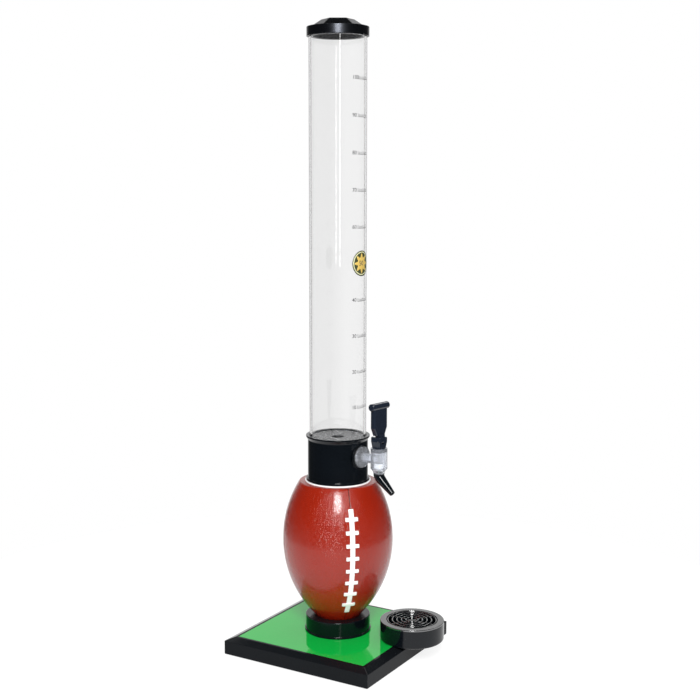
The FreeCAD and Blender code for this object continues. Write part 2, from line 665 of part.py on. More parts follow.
def tap_body():
    barrel = at_valve(turned((0, BODY_BOTTOM_Z), (BODY_STUB_R, BODY_BOTTOM_Z),
                             (BODY_STUB_R, BODY_STUB_Z), (BODY_R, BODY_TAPER_Z),
                             (BODY_R, BODY_TOP_Z), (0, BODY_TOP_Z)))
    shank_end = NUT_FACE - SHANK_NUT_THICK - SHANK_PAST_NUT
    flange = along_shank(FLANGE_R, FLANGE_NEAR, FLANGE_FAR)
    shank = along_shank(SHANK_R, shank_end, FLANGE_FAR)
    neck = along_shank(NECK_R, FLANGE_NEAR, VALVE_REACH)
    body = barrel.fuse([flange, shank, neck])
    body = body.cut(along_shank(SHANK_BORE_R, shank_end - PAST, VALVE_REACH))
    body = body.cut(at_valve(cylinder(BODY_BORE_R, SEAT_Z, BODY_TOP_Z + PAST)))
    body = body.cut(at_valve(cylinder(SEAT_HOLE_R, BODY_BOTTOM_Z - PAST, SEAT_Z + PAST)))
    spigot_top = BODY_BOTTOM_Z + SPOUT_PLUG_HEIGHT
    body = body.cut(at_valve(cylinder(SPOUT_PLUG_R, BODY_BOTTOM_Z - PAST, spigot_top)))
    return as_tap(body.removeSplitter())


def shank_washer():
    disc = along_shank(SHANK_WASHER_R, NUT_FACE, PAD_FACE)
    return as_tap(disc.cut(along_shank(SHANK_R, 0, PAD_FACE + PAST)))


def shank_nut():
    nut = hex_nut(SHANK_NUT_FLATS, SHANK_R, 0, SHANK_NUT_THICK)
    nut.Placement = Placement(Vector(0, -NUT_FACE, TAP_Z), Rotation(Vector(1, 0, 0), -90))
    return as_tap(nut)


def spout():
    elbow = Vector(0, -VALVE_REACH, ELBOW_Z)
    way = Vector(0, -SPOUT_TIP_OUT, -SPOUT_TIP_DOWN)
    neck = at_valve(cylinder(SPOUT_R, ELBOW_Z, BODY_BOTTOM_Z))
    ball = Part.makeSphere(SPOUT_R, elbow)
    nozzle = Part.makeCone(SPOUT_R, SPOUT_TIP_R, way.Length, elbow, way)
    plug_top = BODY_BOTTOM_Z + SPOUT_PLUG_HEIGHT
    plug = at_valve(cylinder(SPOUT_PLUG_R, ELBOW_Z, plug_top))
    half = SPOUT_R + PAST
    above = at_valve(block(-half, half, -half, half, BODY_BOTTOM_Z, ELBOW_Z + half))
    shape = neck.fuse([ball, nozzle]).cut(above).fuse(plug)
    bore_r = SPOUT_BORE_R
    bend = Part.makeSphere(bore_r, elbow)
    outlet = Part.makeCylinder(bore_r, way.Length + PAST, elbow, way)
    bore = at_valve(cylinder(bore_r, ELBOW_Z, plug_top + PAST)).fuse([bend, outlet])
    return as_tap(shape.cut(bore))


# ---- bonnet, lever and valve -----------------------------------------------------------
def pivot_pin(radius, length):
    """Cylinder across the tap on the lever's pivot."""
    start = Vector(-length / 2, -PIVOT_REACH, PIVOT_Z)
    return Part.makeCylinder(radius, length, start, Vector(1, 0, 0))


def bonnet():
    y = -VALVE_REACH
    half = BONNET_SIDE / 2
    shoulder_z = BODY_TOP_Z + BONNET_SHOULDER
    top_z = BODY_TOP_Z + BONNET_HEIGHT
    slot_z = BODY_TOP_Z + SLOT_FLOOR
    foot = Part.makeLoft([square_wire(BONNET_FOOT_SIDE, BODY_TOP_Z, y),
                          square_wire(BONNET_SIDE, shoulder_z, y)], True, True)
    head = block(-half, half, y - half, y + half, shoulder_z, top_z)
    side_tops = [e for e in head.Edges if abs(e.tangentAt(e.FirstParameter).y) > 0.5
                 and e.BoundBox.ZMin > top_z - 0.1]
    head = head.makeChamfer(BONNET_EDGE, side_tops)
    plug = at_valve(cylinder(BODY_BORE_R, BODY_TOP_Z - BONNET_PLUG, BODY_TOP_Z))
    shape = foot.fuse([head, plug])
    slot_half = SLOT_WIDTH / 2
    shape = shape.cut(block(-slot_half, slot_half, y - half - PAST, y + half + PAST,
                            slot_z, top_z + PAST))
    stem_hole = cylinder(STEM_R + STEM_GAP, BODY_TOP_Z - BONNET_PLUG - PAST, slot_z + PAST)
    shape = shape.cut(at_valve(stem_hole))
    return as_tap(shape.cut(pivot_pin(PIN_R, BONNET_SIDE + OVERLAP)).removeSplitter())


def across_valve(radius, length, z):
    """Cylinder across the tap, centred over the valve's axis."""
    start = Vector(-length / 2, -VALVE_REACH, z)
    return Part.makeCylinder(radius, length, start, Vector(1, 0, 0))


def lever_pin():
    return as_tap(pivot_pin(PIN_R, BONNET_SIDE))


def paddle():
    """Flat handle that widens upwards, seen from the front as (x, z)."""
    foot = PADDLE_FOOT_WIDTH / 2
    half = PADDLE_WIDTH / 2
    foot_z = PIVOT_Z + PADDLE_RISE
    shoulder_z = PIVOT_Z + PADDLE_SHOULDER_RISE
    top_z = PIVOT_Z + PADDLE_TOP_RISE
    face = outline((-foot, foot_z), (foot, foot_z), (half, shoulder_z), (half, top_z),
                   (-half, top_z), (-half, shoulder_z))
    face.translate(Vector(0, -VALVE_REACH + PADDLE_THICK / 2, 0))
    solid = face.extrude(Vector(0, -PADDLE_THICK, 0))
    front = [e for e in solid.Edges
             if e.BoundBox.YMax < -VALVE_REACH and e.BoundBox.ZMin < top_z - PAST]
    return solid.makeFillet(PADDLE_ROUND, front)


def lever_handle():
    """Paddle with a cross bar on top. Below, a hub turns on the pin, and a two-tined
    fork behind the hub reaches under the stem's head."""
    half = LEVER_NECK_WIDTH / 2
    back_y = -VALVE_REACH + PADDLE_THICK / 2
    front_y = -PIVOT_REACH - HUB_R
    web_back_y = -PIVOT_REACH + WEB_BACK
    neck_z = PIVOT_Z + LEVER_NECK_RISE
    neck = block(-half, half, front_y, back_y, neck_z, PIVOT_Z + PADDLE_RISE + OVERLAP)
    web = block(-half, half, front_y, web_back_y, PIVOT_Z, neck_z + PAST)
    hub = pivot_pin(HUB_R, LEVER_NECK_WIDTH)
    bar = across_valve(BAR_R, BAR_LENGTH, PIVOT_Z + PADDLE_TOP_RISE)
    bar = bar.makeFillet(PADDLE_ROUND, bar.Edges)
    tip = across_valve(FORK_TINE_R, LEVER_NECK_WIDTH, PIVOT_Z)
    arm = block(-half, half, -PIVOT_REACH, -VALVE_REACH, PIVOT_Z - FORK_TINE_R,
                PIVOT_Z + FORK_ARM_RISE)
    fork_gap = FORK_SLOT / 2
    gap_front_y = -VALVE_REACH - STEM_R - 2 * STEM_GAP
    gap = block(-fork_gap, fork_gap, gap_front_y, back_y, PIVOT_Z - 2 * OVERLAP, PIVOT_Z + 2 * OVERLAP)
    fork = tip.fuse(arm).cut(gap)
    lever = neck.fuse([web, hub, paddle(), bar, fork])
    lever = lever.cut(pivot_pin(PIN_R + RUNNING_GAP, LEVER_NECK_WIDTH + OVERLAP))
    return as_tap(lever.removeSplitter())


def valve_stem():
    """Rod with a collar that the spring pushes on, and a head that the fork lifts."""
    across, along = STEM_HEAD_ACROSS / 2, STEM_HEAD_ALONG / 2
    head_z = PIVOT_Z + FORK_TINE_R + LOOSE_GAP
    y = -VALVE_REACH
    rod = cylinder(STEM_R, SEAT_CUP_TOP_Z - STEM_IN_CUP, head_z + STEM_HEAD_THICK / 2)
    collar = cylinder(STEM_COLLAR_R, SEAT_CUP_TOP_Z, SEAT_CUP_TOP_Z + STEM_COLLAR_THICK)
    head = block(-across, across, y - along, y + along, head_z, head_z + STEM_HEAD_THICK)
    return as_tap(head.fuse([at_valve(rod), at_valve(collar)]).removeSplitter())


def seat_cup():
    """Soft plug on the stem that closes the seat."""
    top = SEAT_CUP_TOP_Z
    cup = turned((0, SEAT_Z), (SEAT_CUP_NOSE_R, SEAT_Z),
                 (SEAT_CUP_R, SEAT_Z + SEAT_CUP_NOSE_HEIGHT), (SEAT_CUP_R, top), (0, top))
    return as_tap(at_valve(cup.cut(cylinder(STEM_R, top - STEM_IN_CUP, top + PAST))))


def return_spring():
    low = SEAT_CUP_TOP_Z + STEM_COLLAR_THICK
    high = BODY_TOP_Z - BONNET_PLUG
    height = high - low - 2 * SPRING_WIRE_R
    helix = Part.makeHelix(height / SPRING_TURNS, height, SPRING_R)
    start = Vector(SPRING_R, 0, 0)
    rise = height / SPRING_TURNS / (2 * math.pi * SPRING_R)
    circle = Part.Wire(Part.makeCircle(SPRING_WIRE_R, start, Vector(0, 1, rise)))
    coil = Part.Wire(helix.Edges).makePipeShell([circle], True, True)
    coil.translate(Vector(0, 0, low + SPRING_WIRE_R))
    return as_tap(at_valve(coil))


# ---- drip tray -------------------------------------------------------------------------
def drip_cup():
    low = PANEL_TOP_Z
    inside_r = TRAY_R - TRAY_WALL
    edge = EDGE_BREAK
    cup = turned((0, low), (TRAY_R - edge, low), (TRAY_R, low + edge), (TRAY_R, TRAY_TOP_Z),
                 (inside_r, TRAY_TOP_Z), (inside_r, low + TRAY_WALL), (0, low + TRAY_WALL))
    pegs = [cylinder(PEG_R, low - PEG_LENGTH, low + PAST, x, y) for x, y in peg_places()]
    return at_tray(cup.fuse(pegs).removeSplitter())


def drip_grille():
    """Rim with rings on spokes. A lip under the rim keeps it in the cup's mouth."""
    low, top = TRAY_TOP_Z, TRAY_TOP_Z + GRILLE_THICK
    open_r = TRAY_R - GRILLE_RIM
    lip_r = TRAY_R - TRAY_WALL - LOOSE_GAP
    lip_inner_r = lip_r - GRILLE_LIP_THICK
    edge = EDGE_BREAK
    rim = turned((open_r, low), (lip_inner_r, low), (lip_inner_r, low - GRILLE_LIP),
                 (lip_r, low - GRILLE_LIP), (lip_r, low), (TRAY_R, low), (TRAY_R, top - edge),
                 (TRAY_R - edge, top), (open_r + edge, top), (open_r, top - edge))
    ring_z = top - GRILLE_RING_WIRE_R - GRILLE_RING_SINK
    rings = [seal_ring(GRILLE_RING_FIRST_R + i * GRILLE_RING_PITCH, GRILLE_RING_WIRE_R, ring_z)
             for i in range(GRILLE_RING_COUNT)]
    spokes = []
    for i in range(GRILLE_SPOKE_COUNT // 2):
        half = GRILLE_SPOKE_WIDTH / 2
        reach = open_r + 1
        spoke = block(-half, half, -reach, reach, ring_z - GRILLE_SPOKE_HEIGHT, ring_z)
        spokes.append(turn(spoke, i * 360 / GRILLE_SPOKE_COUNT))
    return at_tray(rim.fuse(spokes + rings).removeSplitter())


PIECES = (non_slip_pad, base_board, turf_panel, ball_cup, cup_screws, ball_shell, laces,
          saddle_gasket, tie_rod, tie_nuts, tie_washers, tie_seal, tap_collar, tube_plug,
          tube_o_ring, beverage_tube, lid_cap, lid_plug, lid_o_ring, tap_gasket, tap_body,
          shank_washer, shank_nut, spout, bonnet, lever_pin, lever_handle, valve_stem,
          seat_cup, return_spring, drip_cup, drip_grille)

os.makedirs("parts", exist_ok=True)
for piece in PIECES:
    shape = piece()
    shape.exportStep("parts/" + piece.__name__ + ".step")
    solids = len(shape.Solids)
    print(f"{piece.__name__:15s} {solids} solids  {shape.Volume:12.1f} mm3  valid {shape.isValid()}")
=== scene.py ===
# %% [markdown]
# # A drink tower on a football, from bare frame to finished picture
# A clear tube holds the drink and stands in a black tap collar. The collar is clamped on
# top of an upright ball, and the ball sits in a cup on a square base with a green panel and
# a drip tray. The frame comes packed from CAD with every piece in its place. This lesson
# rebuilds the pieces that show, with rounded edges and real surface detail, and gives each
# of them a finish made of nodes.
# %% Load the frame
import math

import bmesh
import bpy
from mathutils import Matrix, Vector


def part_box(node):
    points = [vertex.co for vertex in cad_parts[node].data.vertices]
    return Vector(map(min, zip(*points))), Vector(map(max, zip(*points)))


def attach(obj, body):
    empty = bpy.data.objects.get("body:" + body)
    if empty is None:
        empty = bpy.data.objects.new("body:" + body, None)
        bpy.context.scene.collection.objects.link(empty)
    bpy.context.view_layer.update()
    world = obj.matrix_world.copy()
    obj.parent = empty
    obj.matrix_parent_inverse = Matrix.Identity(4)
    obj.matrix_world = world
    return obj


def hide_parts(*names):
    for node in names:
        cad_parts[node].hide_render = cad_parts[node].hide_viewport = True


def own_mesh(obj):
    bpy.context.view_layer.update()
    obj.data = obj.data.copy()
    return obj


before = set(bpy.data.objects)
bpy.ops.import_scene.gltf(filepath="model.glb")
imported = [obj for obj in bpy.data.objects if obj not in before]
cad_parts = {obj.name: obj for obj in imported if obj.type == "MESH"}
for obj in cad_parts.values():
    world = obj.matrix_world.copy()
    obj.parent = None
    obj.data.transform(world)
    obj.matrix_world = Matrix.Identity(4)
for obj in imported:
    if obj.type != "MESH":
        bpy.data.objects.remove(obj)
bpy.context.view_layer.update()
scene = bpy.context.scene

# %% [markdown]
# ## The camera comes first
# A tall slim object looks best through a long lens from some way off, a little above its
# middle and tipped down. The small sideways shift keeps the tower left of the middle without
# turning the camera, so the tube's sides stay upright.
# %% Place the camera
CAMERA_PLACE = (-1.6073, -0.9845, 0.7423)
CAMERA_HEADING = -58.516  # degrees about Z from the Y axis
CAMERA_DROP = 7.963  # degrees below level
CAMERA_LENS = 62.887
CAMERA_SHIFT = 0.01714
FRONT_TURN = -148.5  # the side that faces the camera, in degrees about Z from the X axis


def put(name, data):
    """New object in the scene, at the origin."""
    made = bpy.data.objects.new(name, data)
    scene.collection.objects.link(made)
    return made


camera = put("camera", bpy.data.cameras.new("camera"))
camera.location = CAMERA_PLACE
camera.rotation_euler = (math.radians(90 - CAMERA_DROP), 0, math.radians(CAMERA_HEADING))
camera.data.sensor_width = 36
camera.data.lens = CAMERA_LENS
camera.data.shift_x = CAMERA_SHIFT
scene.camera = camera
scene.view_settings.view_transform = "Standard"
print("camera at", CAMERA_PLACE)

# %% [markdown]
# ## A small workshop of mesh tools
# Nearly everything here is turned or moulded, so one tool does most of the work: draw half
# of a cross section, and spin it about the middle. If the spin follows a square or a hexagon
# in place of a circle, the same tool makes a bevelled board or a six-sided grip. Sizes are
# in millimetres, as on a drawing, and become metres when the piece is made.
# %% Round the corners of a drawn outline
MM = 0.001
MOST_OF_SIDE = 0.49  # a rounding takes at most this share of a side


def bend(start, corner, end, t):
    """Point at t, from 0 to 1, on a curve that runs from start to end round a corner."""
    return start * (1 - t) ** 2 + corner * 2 * t * (1 - t) + end * t * t


def soften(corners, steps=5):
    """Outline with rounded corners. A corner is (x, y), or (x, y, radius) to round it."""
    points = []
    for i, corner in enumerate(corners):
        here = Vector(corner[:2])
        if len(corner) == 2:
            points.append(here)
            continue
        back = Vector(corners[i - 1][:2]) - here
        ahead = Vector(corners[(i + 1) % len(corners)][:2]) - here
        cut = corner[2] / math.tan(back.angle(ahead) / 2)
        cut = min(cut, back.length * MOST_OF_SIDE, ahead.length * MOST_OF_SIDE)
        start = here + back.normalized() * cut
        end = here + ahead.normalized() * cut
        points += [bend(start, here, end, k / steps) for k in range(steps + 1)]
    return points


print("a soft triangle has", len(soften([(0, 0, 1), (9, 0, 1), (9, 9, 1)])), "points")


# %% Paths that an outline is spun along
def circle(count):
    turns = [2 * math.pi * i / count for i in range(count)]
    return [Vector((math.cos(a), math.sin(a))) for a in turns]


def polygon(sides, count, sharpness, turn):
    """Regular polygon whose flats lie at 1, with its first flat facing turn, in degrees."""
    points = []
    for spoke in circle(count):
        reach = 0
        for k in range(sides):
            face = math.radians(turn) + 2 * math.pi * k / sides
            along = spoke.x * math.cos(face) + spoke.y * math.sin(face)
            reach += max(0, along) ** sharpness
        points.append(spoke * reach ** (-1 / sharpness))
    return points


ROUND = circle(160)
FINE_ROUND = circle(256)
print("round paths have", len(ROUND), "and", len(FINE_ROUND), "points")

# %% Spin an outline
ON_AXIS = 1e-6  # a smaller radius than this is a point on the axis


def bridge(mesh, near, far):
    """Faces between two rings of points. A ring of one point closes to that point."""
    count = max(len(near), len(far))
    for i in range(count):
        j = (i + 1) % count
        corners = [near[i % len(near)], near[j % len(near)],
                   far[j % len(far)], far[i % len(far)]]
        mesh.faces.new(list(dict.fromkeys(corners)))


def skin_over(mesh, rings):
    """Faces along a row of rings, and a flat face at each end."""
    for near, far in zip(rings, rings[1:]):
        bridge(mesh, near, far)
    mesh.faces.new(rings[0])
    mesh.faces.new(rings[-1])
    return mesh


def spin(outline, path=ROUND):
    """Closed outline of (radius, height) points, spun along a path. The path may be a
    function of radius and height."""
    mesh = bmesh.new()
    rings = []
    for radius, height in outline:
        around = path(radius, height) if callable(path) else path
        if radius < ON_AXIS:
            around = [Vector((0, 0))]
        rings.append([mesh.verts.new((radius * p.x, radius * p.y, height)) for p in around])
    for low, high in zip(rings, rings[1:] + rings[:1]):
        if len(low) > 1 or len(high) > 1:
            bridge(mesh, low, high)
    return mesh


print("an outline spins along", len(ROUND), "points unless told otherwise")


# %% Move a mesh, copy it into another, and lay it on a surface
def shift(mesh, matrix):
    bmesh.ops.transform(mesh, matrix=matrix, verts=mesh.verts)
    return mesh


def slide(mesh, x, y, z=0):
    return shift(mesh, Matrix.Translation((x, y, z)))


def copy_into(mesh, other):
    """Adds another mesh to this one, and throws the other away."""
    made = {v: mesh.verts.new(v.co) for v in other.verts}
    for face in other.faces:
        mesh.faces.new([made[v] for v in face.verts])
    other.free()


def lay(mesh, onto):
    """Sends each vertex through a function, such as one that wraps a flat sheet."""
    for v in mesh.verts:
        v.co = onto(*v.co)
    return mesh


print("moving ready")

# %% Make blocks that can bend
WELD = 1e-5  # a slice this near to a vertex goes through it


def sliced_block(size, slices, rounding=0, segments=3):
    """Block about the origin, cut across its three axes into slices, so that it can bend."""
    block = bmesh.new()
    bmesh.ops.create_cube(block, size=1)
    bmesh.ops.scale(block, vec=size, verts=block.verts)
    if rounding:
        bmesh.ops.bevel(block, geom=block.edges, offset=rounding, segments=segments,
                        profile=0.5, affect="EDGES", clamp_overlap=True)
    for axis, count in enumerate(slices):
        normal = Vector((0, 0, 0))
        normal[axis] = 1
        for k in range(1, count + 1):
            place = normal * (size[axis] * (k / (count + 1) - 0.5))
            geometry = block.verts[:] + block.edges[:] + block.faces[:]
            bmesh.ops.bisect_plane(block, geom=geometry, dist=WELD, plane_co=place,
                                   plane_no=normal)
    return block


print("blocks ready, welded within", WELD)


# %% Turn a mesh into a piece of the tower
def solid(name, mesh):
    """Object in metres from a mesh in millimetres, which is thrown away."""
    bmesh.ops.recalc_face_normals(mesh, faces=mesh.faces)
    bmesh.ops.scale(mesh, vec=(MM, MM, MM), verts=mesh.verts)
    data = bpy.data.meshes.new(name)
    mesh.to_mesh(data)
    mesh.free()
    return put(name, data)


def keep_flats(made):
    """Smooth shading that leaves large flat faces flat."""
    made.modifiers.new("flat faces stay flat", "WEIGHTED_NORMAL")


def piece(name, mesh, finish, body, slot, *nodes, weighted=True):
    """Shown piece that rides on a body and stands for the frame's nodes."""
    made = solid(name, mesh)
    made.data.materials.append(finish)
    made.data.shade_smooth()
    if weighted:
        keep_flats(made)
    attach(made, body)
    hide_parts(*nodes)
    print(name, "has", len(made.data.polygons), "faces and rides on", body)
    return made


print("a millimetre is", MM, "m")

# %% [markdown]
# ## Effects that several finishes share
# A real surface is never one flat value. Fingers and cloths leave patches that are a little
# duller, mouldings are very slightly wavy, dust settles on what faces up, and edges are
# painted lighter, partly as wear and partly as a painted highlight. Each of these is a node
# group, made once, and every finish sets its own numbers on it.
# %% Add nodes and feed them
def feed(node, inputs):
    """Gives each input a value, or links it to the socket that feeds it."""
    for key, value in inputs.items():
        if isinstance(value, bpy.types.NodeSocket):
            node.id_data.links.new(value, node.inputs[key])
        else:
            node.inputs[key].default_value = value


def add(tree, kind, inputs=None, **settings):
    """New node, with its settings made and its inputs fed."""
    node = tree.nodes.new(kind)
    for key, value in settings.items():
        setattr(node, key, value)
    feed(node, inputs or {})
    return node


def rgba(red, green, blue):
    return (red, green, blue, 1.0)


print("nodes can be added and fed")


# %% Sums, ranges, colours and bumps
def calc(tree, operation, a, b=0.0, clamp=False):
    return add(tree, "ShaderNodeMath", {0: a, 1: b}, operation=operation,
               use_clamp=clamp).outputs[0]


def dot(tree, one, other):
    return add(tree, "ShaderNodeVectorMath", {0: one, 1: other},
               operation="DOT_PRODUCT").outputs["Value"]


def remap(tree, value, start, end, low=0.0, high=1.0, **settings):
    """Number that goes from low to high as a value goes from start to end."""
    return add(tree, "ShaderNodeMapRange", {"Value": value, "From Min": start, "From Max": end,
               "To Min": low, "To Max": high}, **settings).outputs["Result"]


def blend_colours(tree, amount, low, high):
    """Colour that goes from low to high as an amount goes from 0 to 1."""
    return add(tree, "ShaderNodeMix", {0: amount, 6: low, 7: high}, data_type="RGBA").outputs[2]


def bumped(tree, height, depth):
    """Normal of a surface that stands up to depth proud, in metres, as height goes to 1."""
    return add(tree, "ShaderNodeBump", {"Height": height, "Distance": depth}).outputs["Normal"]


def object_space(tree):
    return add(tree, "ShaderNodeTexCoord").outputs["Object"]


def noise(tree, size, detail=3.0, roughness=0.5):
    """Noise in the object's own space, with features about size across, in metres."""
    return add(tree, "ShaderNodeTexNoise", {"Vector": object_space(tree), "Scale":
               calc(tree, "DIVIDE", 1.0, size), "Detail": detail,
               "Roughness": roughness}).outputs["Fac"]


print("node helpers ready")


# %% Make an effect, and place it in a finish
def effect(name, numbers, output):
    """Empty node group with named numbers going in, and one number coming out."""
    group = bpy.data.node_groups.new(name, "ShaderNodeTree")
    for label, value in numbers.items():
        socket = group.interface.new_socket(label, in_out="INPUT", socket_type="NodeSocketFloat")
        socket.default_value = value
    group.interface.new_socket(output, in_out="OUTPUT", socket_type="NodeSocketFloat")
    print(name, "takes", ", ".join(numbers), "and gives", output)
    return group, add(group, "NodeGroupInput").outputs, add(group, "NodeGroupOutput")


def place(tree, group, *numbers):
    """Puts an effect in a finish, with its inputs set in order, and gives its output."""
    return add(tree, "ShaderNodeGroup", dict(enumerate(numbers)), node_tree=group).outputs[0]


print("effects can be made")

# %% Handled gloss: patches and fine wipes change the roughness
WIPE_SIZE = 0.07  # as a share of the patch size
PATCH_SHARE, WIPE_SHARE = 0.75, 0.25
handled, given, sink = effect("handled gloss", {"Patch Size": 0.03, "Low": 0.1, "High": 0.2},
                              "Roughness")
patches = noise(handled, given["Patch Size"], detail=4.0, roughness=0.6)
wipes = noise(handled, calc(handled, "MULTIPLY", given["Patch Size"], WIPE_SIZE))
mixed = calc(handled, "ADD", calc(handled, "MULTIPLY", patches, PATCH_SHARE),
             calc(handled, "MULTIPLY", wipes, WIPE_SHARE))
feed(sink, {"Roughness": remap(handled, mixed, 0.32, 0.68, given["Low"], given["High"])})

# %% Moulding waves: a slow ripple with a finer grain on it
waves, given, sink = effect("moulding waves", {"Wave Size": 0.02, "Grain Size": 0.0008,
                                               "Grain Share": 0.2}, "Height")
slow = noise(waves, given["Wave Size"], detail=1.0)
grain = noise(waves, given["Grain Size"], detail=2.0)
feed(sink, {"Height": calc(waves, "ADD", slow,
                           calc(waves, "MULTIPLY", grain, given["Grain Share"]))})

# %% Edge wear and painted glint: where a rounded normal leaves the true one, broken up by noise
# Edges get a lighter colour, partly as wear and partly as a painted highlight.
BREAK_SIZE = 0.004
edge_wear_and_glint, given, sink = effect("edge wear and painted glint", {"Reach": 0.001, "Amount": 0.5}, "Mask")
rounded = add(edge_wear_and_glint, "ShaderNodeBevel", {"Radius": given["Reach"]}, samples=4).outputs[0]
true_normal = add(edge_wear_and_glint, "ShaderNodeNewGeometry").outputs["Normal"]
edge = remap(edge_wear_and_glint, dot(edge_wear_and_glint, rounded, true_normal), 0.995, 0.85)
broken = remap(edge_wear_and_glint, noise(edge_wear_and_glint, BREAK_SIZE), 0.35, 0.65)
feed(sink, {"Mask": calc(edge_wear_and_glint, "MULTIPLY", calc(edge_wear_and_glint, "MULTIPLY", edge, broken),
                         given["Amount"], clamp=True)})

# %% Settled dust: thin, and only on what faces up
SPECK_SIZE = 0.0012
dust, given, sink = effect("settled dust", {"Amount": 0.1, "Patch Size": 0.02}, "Mask")
normal = add(dust, "ShaderNodeNewGeometry").outputs["Normal"]
upward = remap(dust, add(dust, "ShaderNodeSeparateXYZ", {0: normal}).outputs["Z"], 0.6, 1.0)
specks = remap(dust, noise(dust, SPECK_SIZE, detail=5.0), 0.5, 0.75)
cloud = noise(dust, given["Patch Size"])
feed(sink, {"Mask": calc(dust, "MULTIPLY", calc(dust, "MULTIPLY", upward, given["Amount"]),
                         calc(dust, "ADD", specks, cloud), clamp=True)})

# %% [markdown]
# ## Finishes
# Most of the tower is gloss plastic, lacquer or rubber, which differ only in colour, gloss,
# waviness, and edges painted lighter as wear and as a painted highlight. One recipe makes them
# all. The ball, the clear plastics and the metals each show something of their own, so they
# come with their pieces.
# %% The recipe for plain solid finishes
DUST = rgba(0.42, 0.41, 0.39)
DUST_DULLS = 0.4  # roughness that full dust adds
TONE_SIZE = 1.7  # size of the patches of colour, as a share of the patches of gloss


def start_finish(name):
    """New material, its node tree and its main shader."""
    made = bpy.data.materials.new(name)
    made.use_nodes = True
    return made, made.node_tree, made.node_tree.nodes["Principled BSDF"]


def solid_finish(name, colour, second, gloss, wave, edge_wear_glint, dusty, **shine):
    """gloss is (patch size, low, high) roughness, wave is (size, grain, share, depth), the edge
    argument is (reach, amount, colour) for edges painted lighter, partly as wear and partly as a
    painted highlight, dusty is (amount, patch size), and shine is set on the shader as it is,
    with underscores for spaces."""
    made, tree, shader = start_finish(name)
    tone = blend_colours(tree, noise(tree, gloss[0] * TONE_SIZE), rgba(*colour), rgba(*second))
    # Edges are painted lighter: partly wear, partly a painted highlight.
    tone = blend_colours(tree, place(tree, edge_wear_and_glint, *edge_wear_glint[:2]), tone, rgba(*edge_wear_glint[2]))
    settled = place(tree, dust, *dusty)
    dull = calc(tree, "ADD", place(tree, handled, *gloss),
                calc(tree, "MULTIPLY", settled, DUST_DULLS))
    feed(shader, {"Base Color": blend_colours(tree, settled, tone, DUST), "Roughness": dull,
                  "Normal": bumped(tree, place(tree, waves, *wave[:3]), wave[3])})
    feed(shader, {label.replace("_", " "): value for label, value in shine.items()})
    return made


print("recipe ready")

# %% Gloss blacks and the green panel
BLACK, BLACK_COOL = (0.0018, 0.0028, 0.0042), (0.0034, 0.0050, 0.0072)
black_moulded = solid_finish(
    "gloss black moulding", BLACK, BLACK_COOL, gloss=(0.03, 0.10, 0.17),
    wave=(0.018, 0.0007, 0.05, 0.00005), edge_wear_glint=(0.0005, 0.3, (0.03, 0.033, 0.038)),
    dusty=(0.01, 0.02), Specular_IOR_Level=0.32)
black_lacquer = solid_finish(
    "black lacquered board", (0.0040, 0.0050, 0.0062), (0.0060, 0.0074, 0.0092),
    gloss=(0.06, 0.06, 0.12), wave=(0.012, 0.0009, 0.08, 0.00004),
    edge_wear_glint=(0.0007, 0.6, (0.09, 0.09, 0.095)), dusty=(0.004, 0.03), Specular_IOR_Level=0.09)
grille_black = solid_finish(
    "satin black grille", BLACK, BLACK_COOL, gloss=(0.012, 0.10, 0.18),
    wave=(0.006, 0.0006, 0.2, 0.00004), edge_wear_glint=(0.0005, 0.5, (0.06, 0.06, 0.065)),
    dusty=(0.03, 0.01), Specular_IOR_Level=1.0, IOR=1.9)
black_lid = solid_finish(
    "satin black lid", (0.0006, 0.0008, 0.0012), (0.0012, 0.0016, 0.0022),
    gloss=(0.02, 0.24, 0.32), wave=(0.012, 0.0007, 0.10, 0.00004),
    edge_wear_glint=(0.0006, 0.4, (0.03, 0.034, 0.04)), dusty=(0.0, 0.02),
    Specular_Tint=rgba(0.82, 0.87, 1.0))
black_handle = solid_finish(
    "cool black handle", (0.0085, 0.0125, 0.0215), (0.0115, 0.0160, 0.0270),
    gloss=(0.02, 0.10, 0.18), wave=(0.012, 0.0007, 0.10, 0.00005),
    edge_wear_glint=(0.0006, 0.5, (0.06, 0.065, 0.075)), dusty=(0.01, 0.02), Specular_IOR_Level=0.4)
green_sheet = solid_finish(
    "polished green sheet", (0.0, 0.415, 0.046), (0.0, 0.450, 0.056),
    gloss=(0.07, 0.03, 0.07), wave=(0.05, 0.002, 0.02, 0.00004),
    edge_wear_glint=(0.0004, 0.4, (0.25, 0.70, 0.35)), dusty=(0.02, 0.03),
    Specular_Tint=rgba(1.0, 0.98, 0.78))
print("gloss finishes made:", len(bpy.data.materials))

# %% Laces, rubbers and foam
lace_white = solid_finish(
    "moulded white laces", (0.85, 0.85, 0.83), (0.89, 0.89, 0.88), gloss=(0.01, 0.30, 0.45),
    wave=(0.003, 0.0005, 0.5, 0.00006), edge_wear_glint=(0.0008, 0.3, (0.70, 0.69, 0.66)),
    dusty=(0.03, 0.01))
pale_silicone = solid_finish(
    "pale grey silicone", (0.95, 0.95, 0.96), (0.98, 0.98, 0.99), gloss=(0.01, 0.35, 0.5),
    wave=(0.004, 0.0005, 0.4, 0.00005), edge_wear_glint=(0.0005, 0.2, (0.75, 0.75, 0.75)),
    dusty=(0.03, 0.01))
foam_black = solid_finish(
    "black foam pad", (0.018, 0.018, 0.019), (0.03, 0.03, 0.031), gloss=(0.01, 0.7, 0.9),
    wave=(0.002, 0.0006, 0.8, 0.0003), edge_wear_glint=(0.0006, 0.2, (0.05, 0.05, 0.05)),
    dusty=(0.0, 0.01))
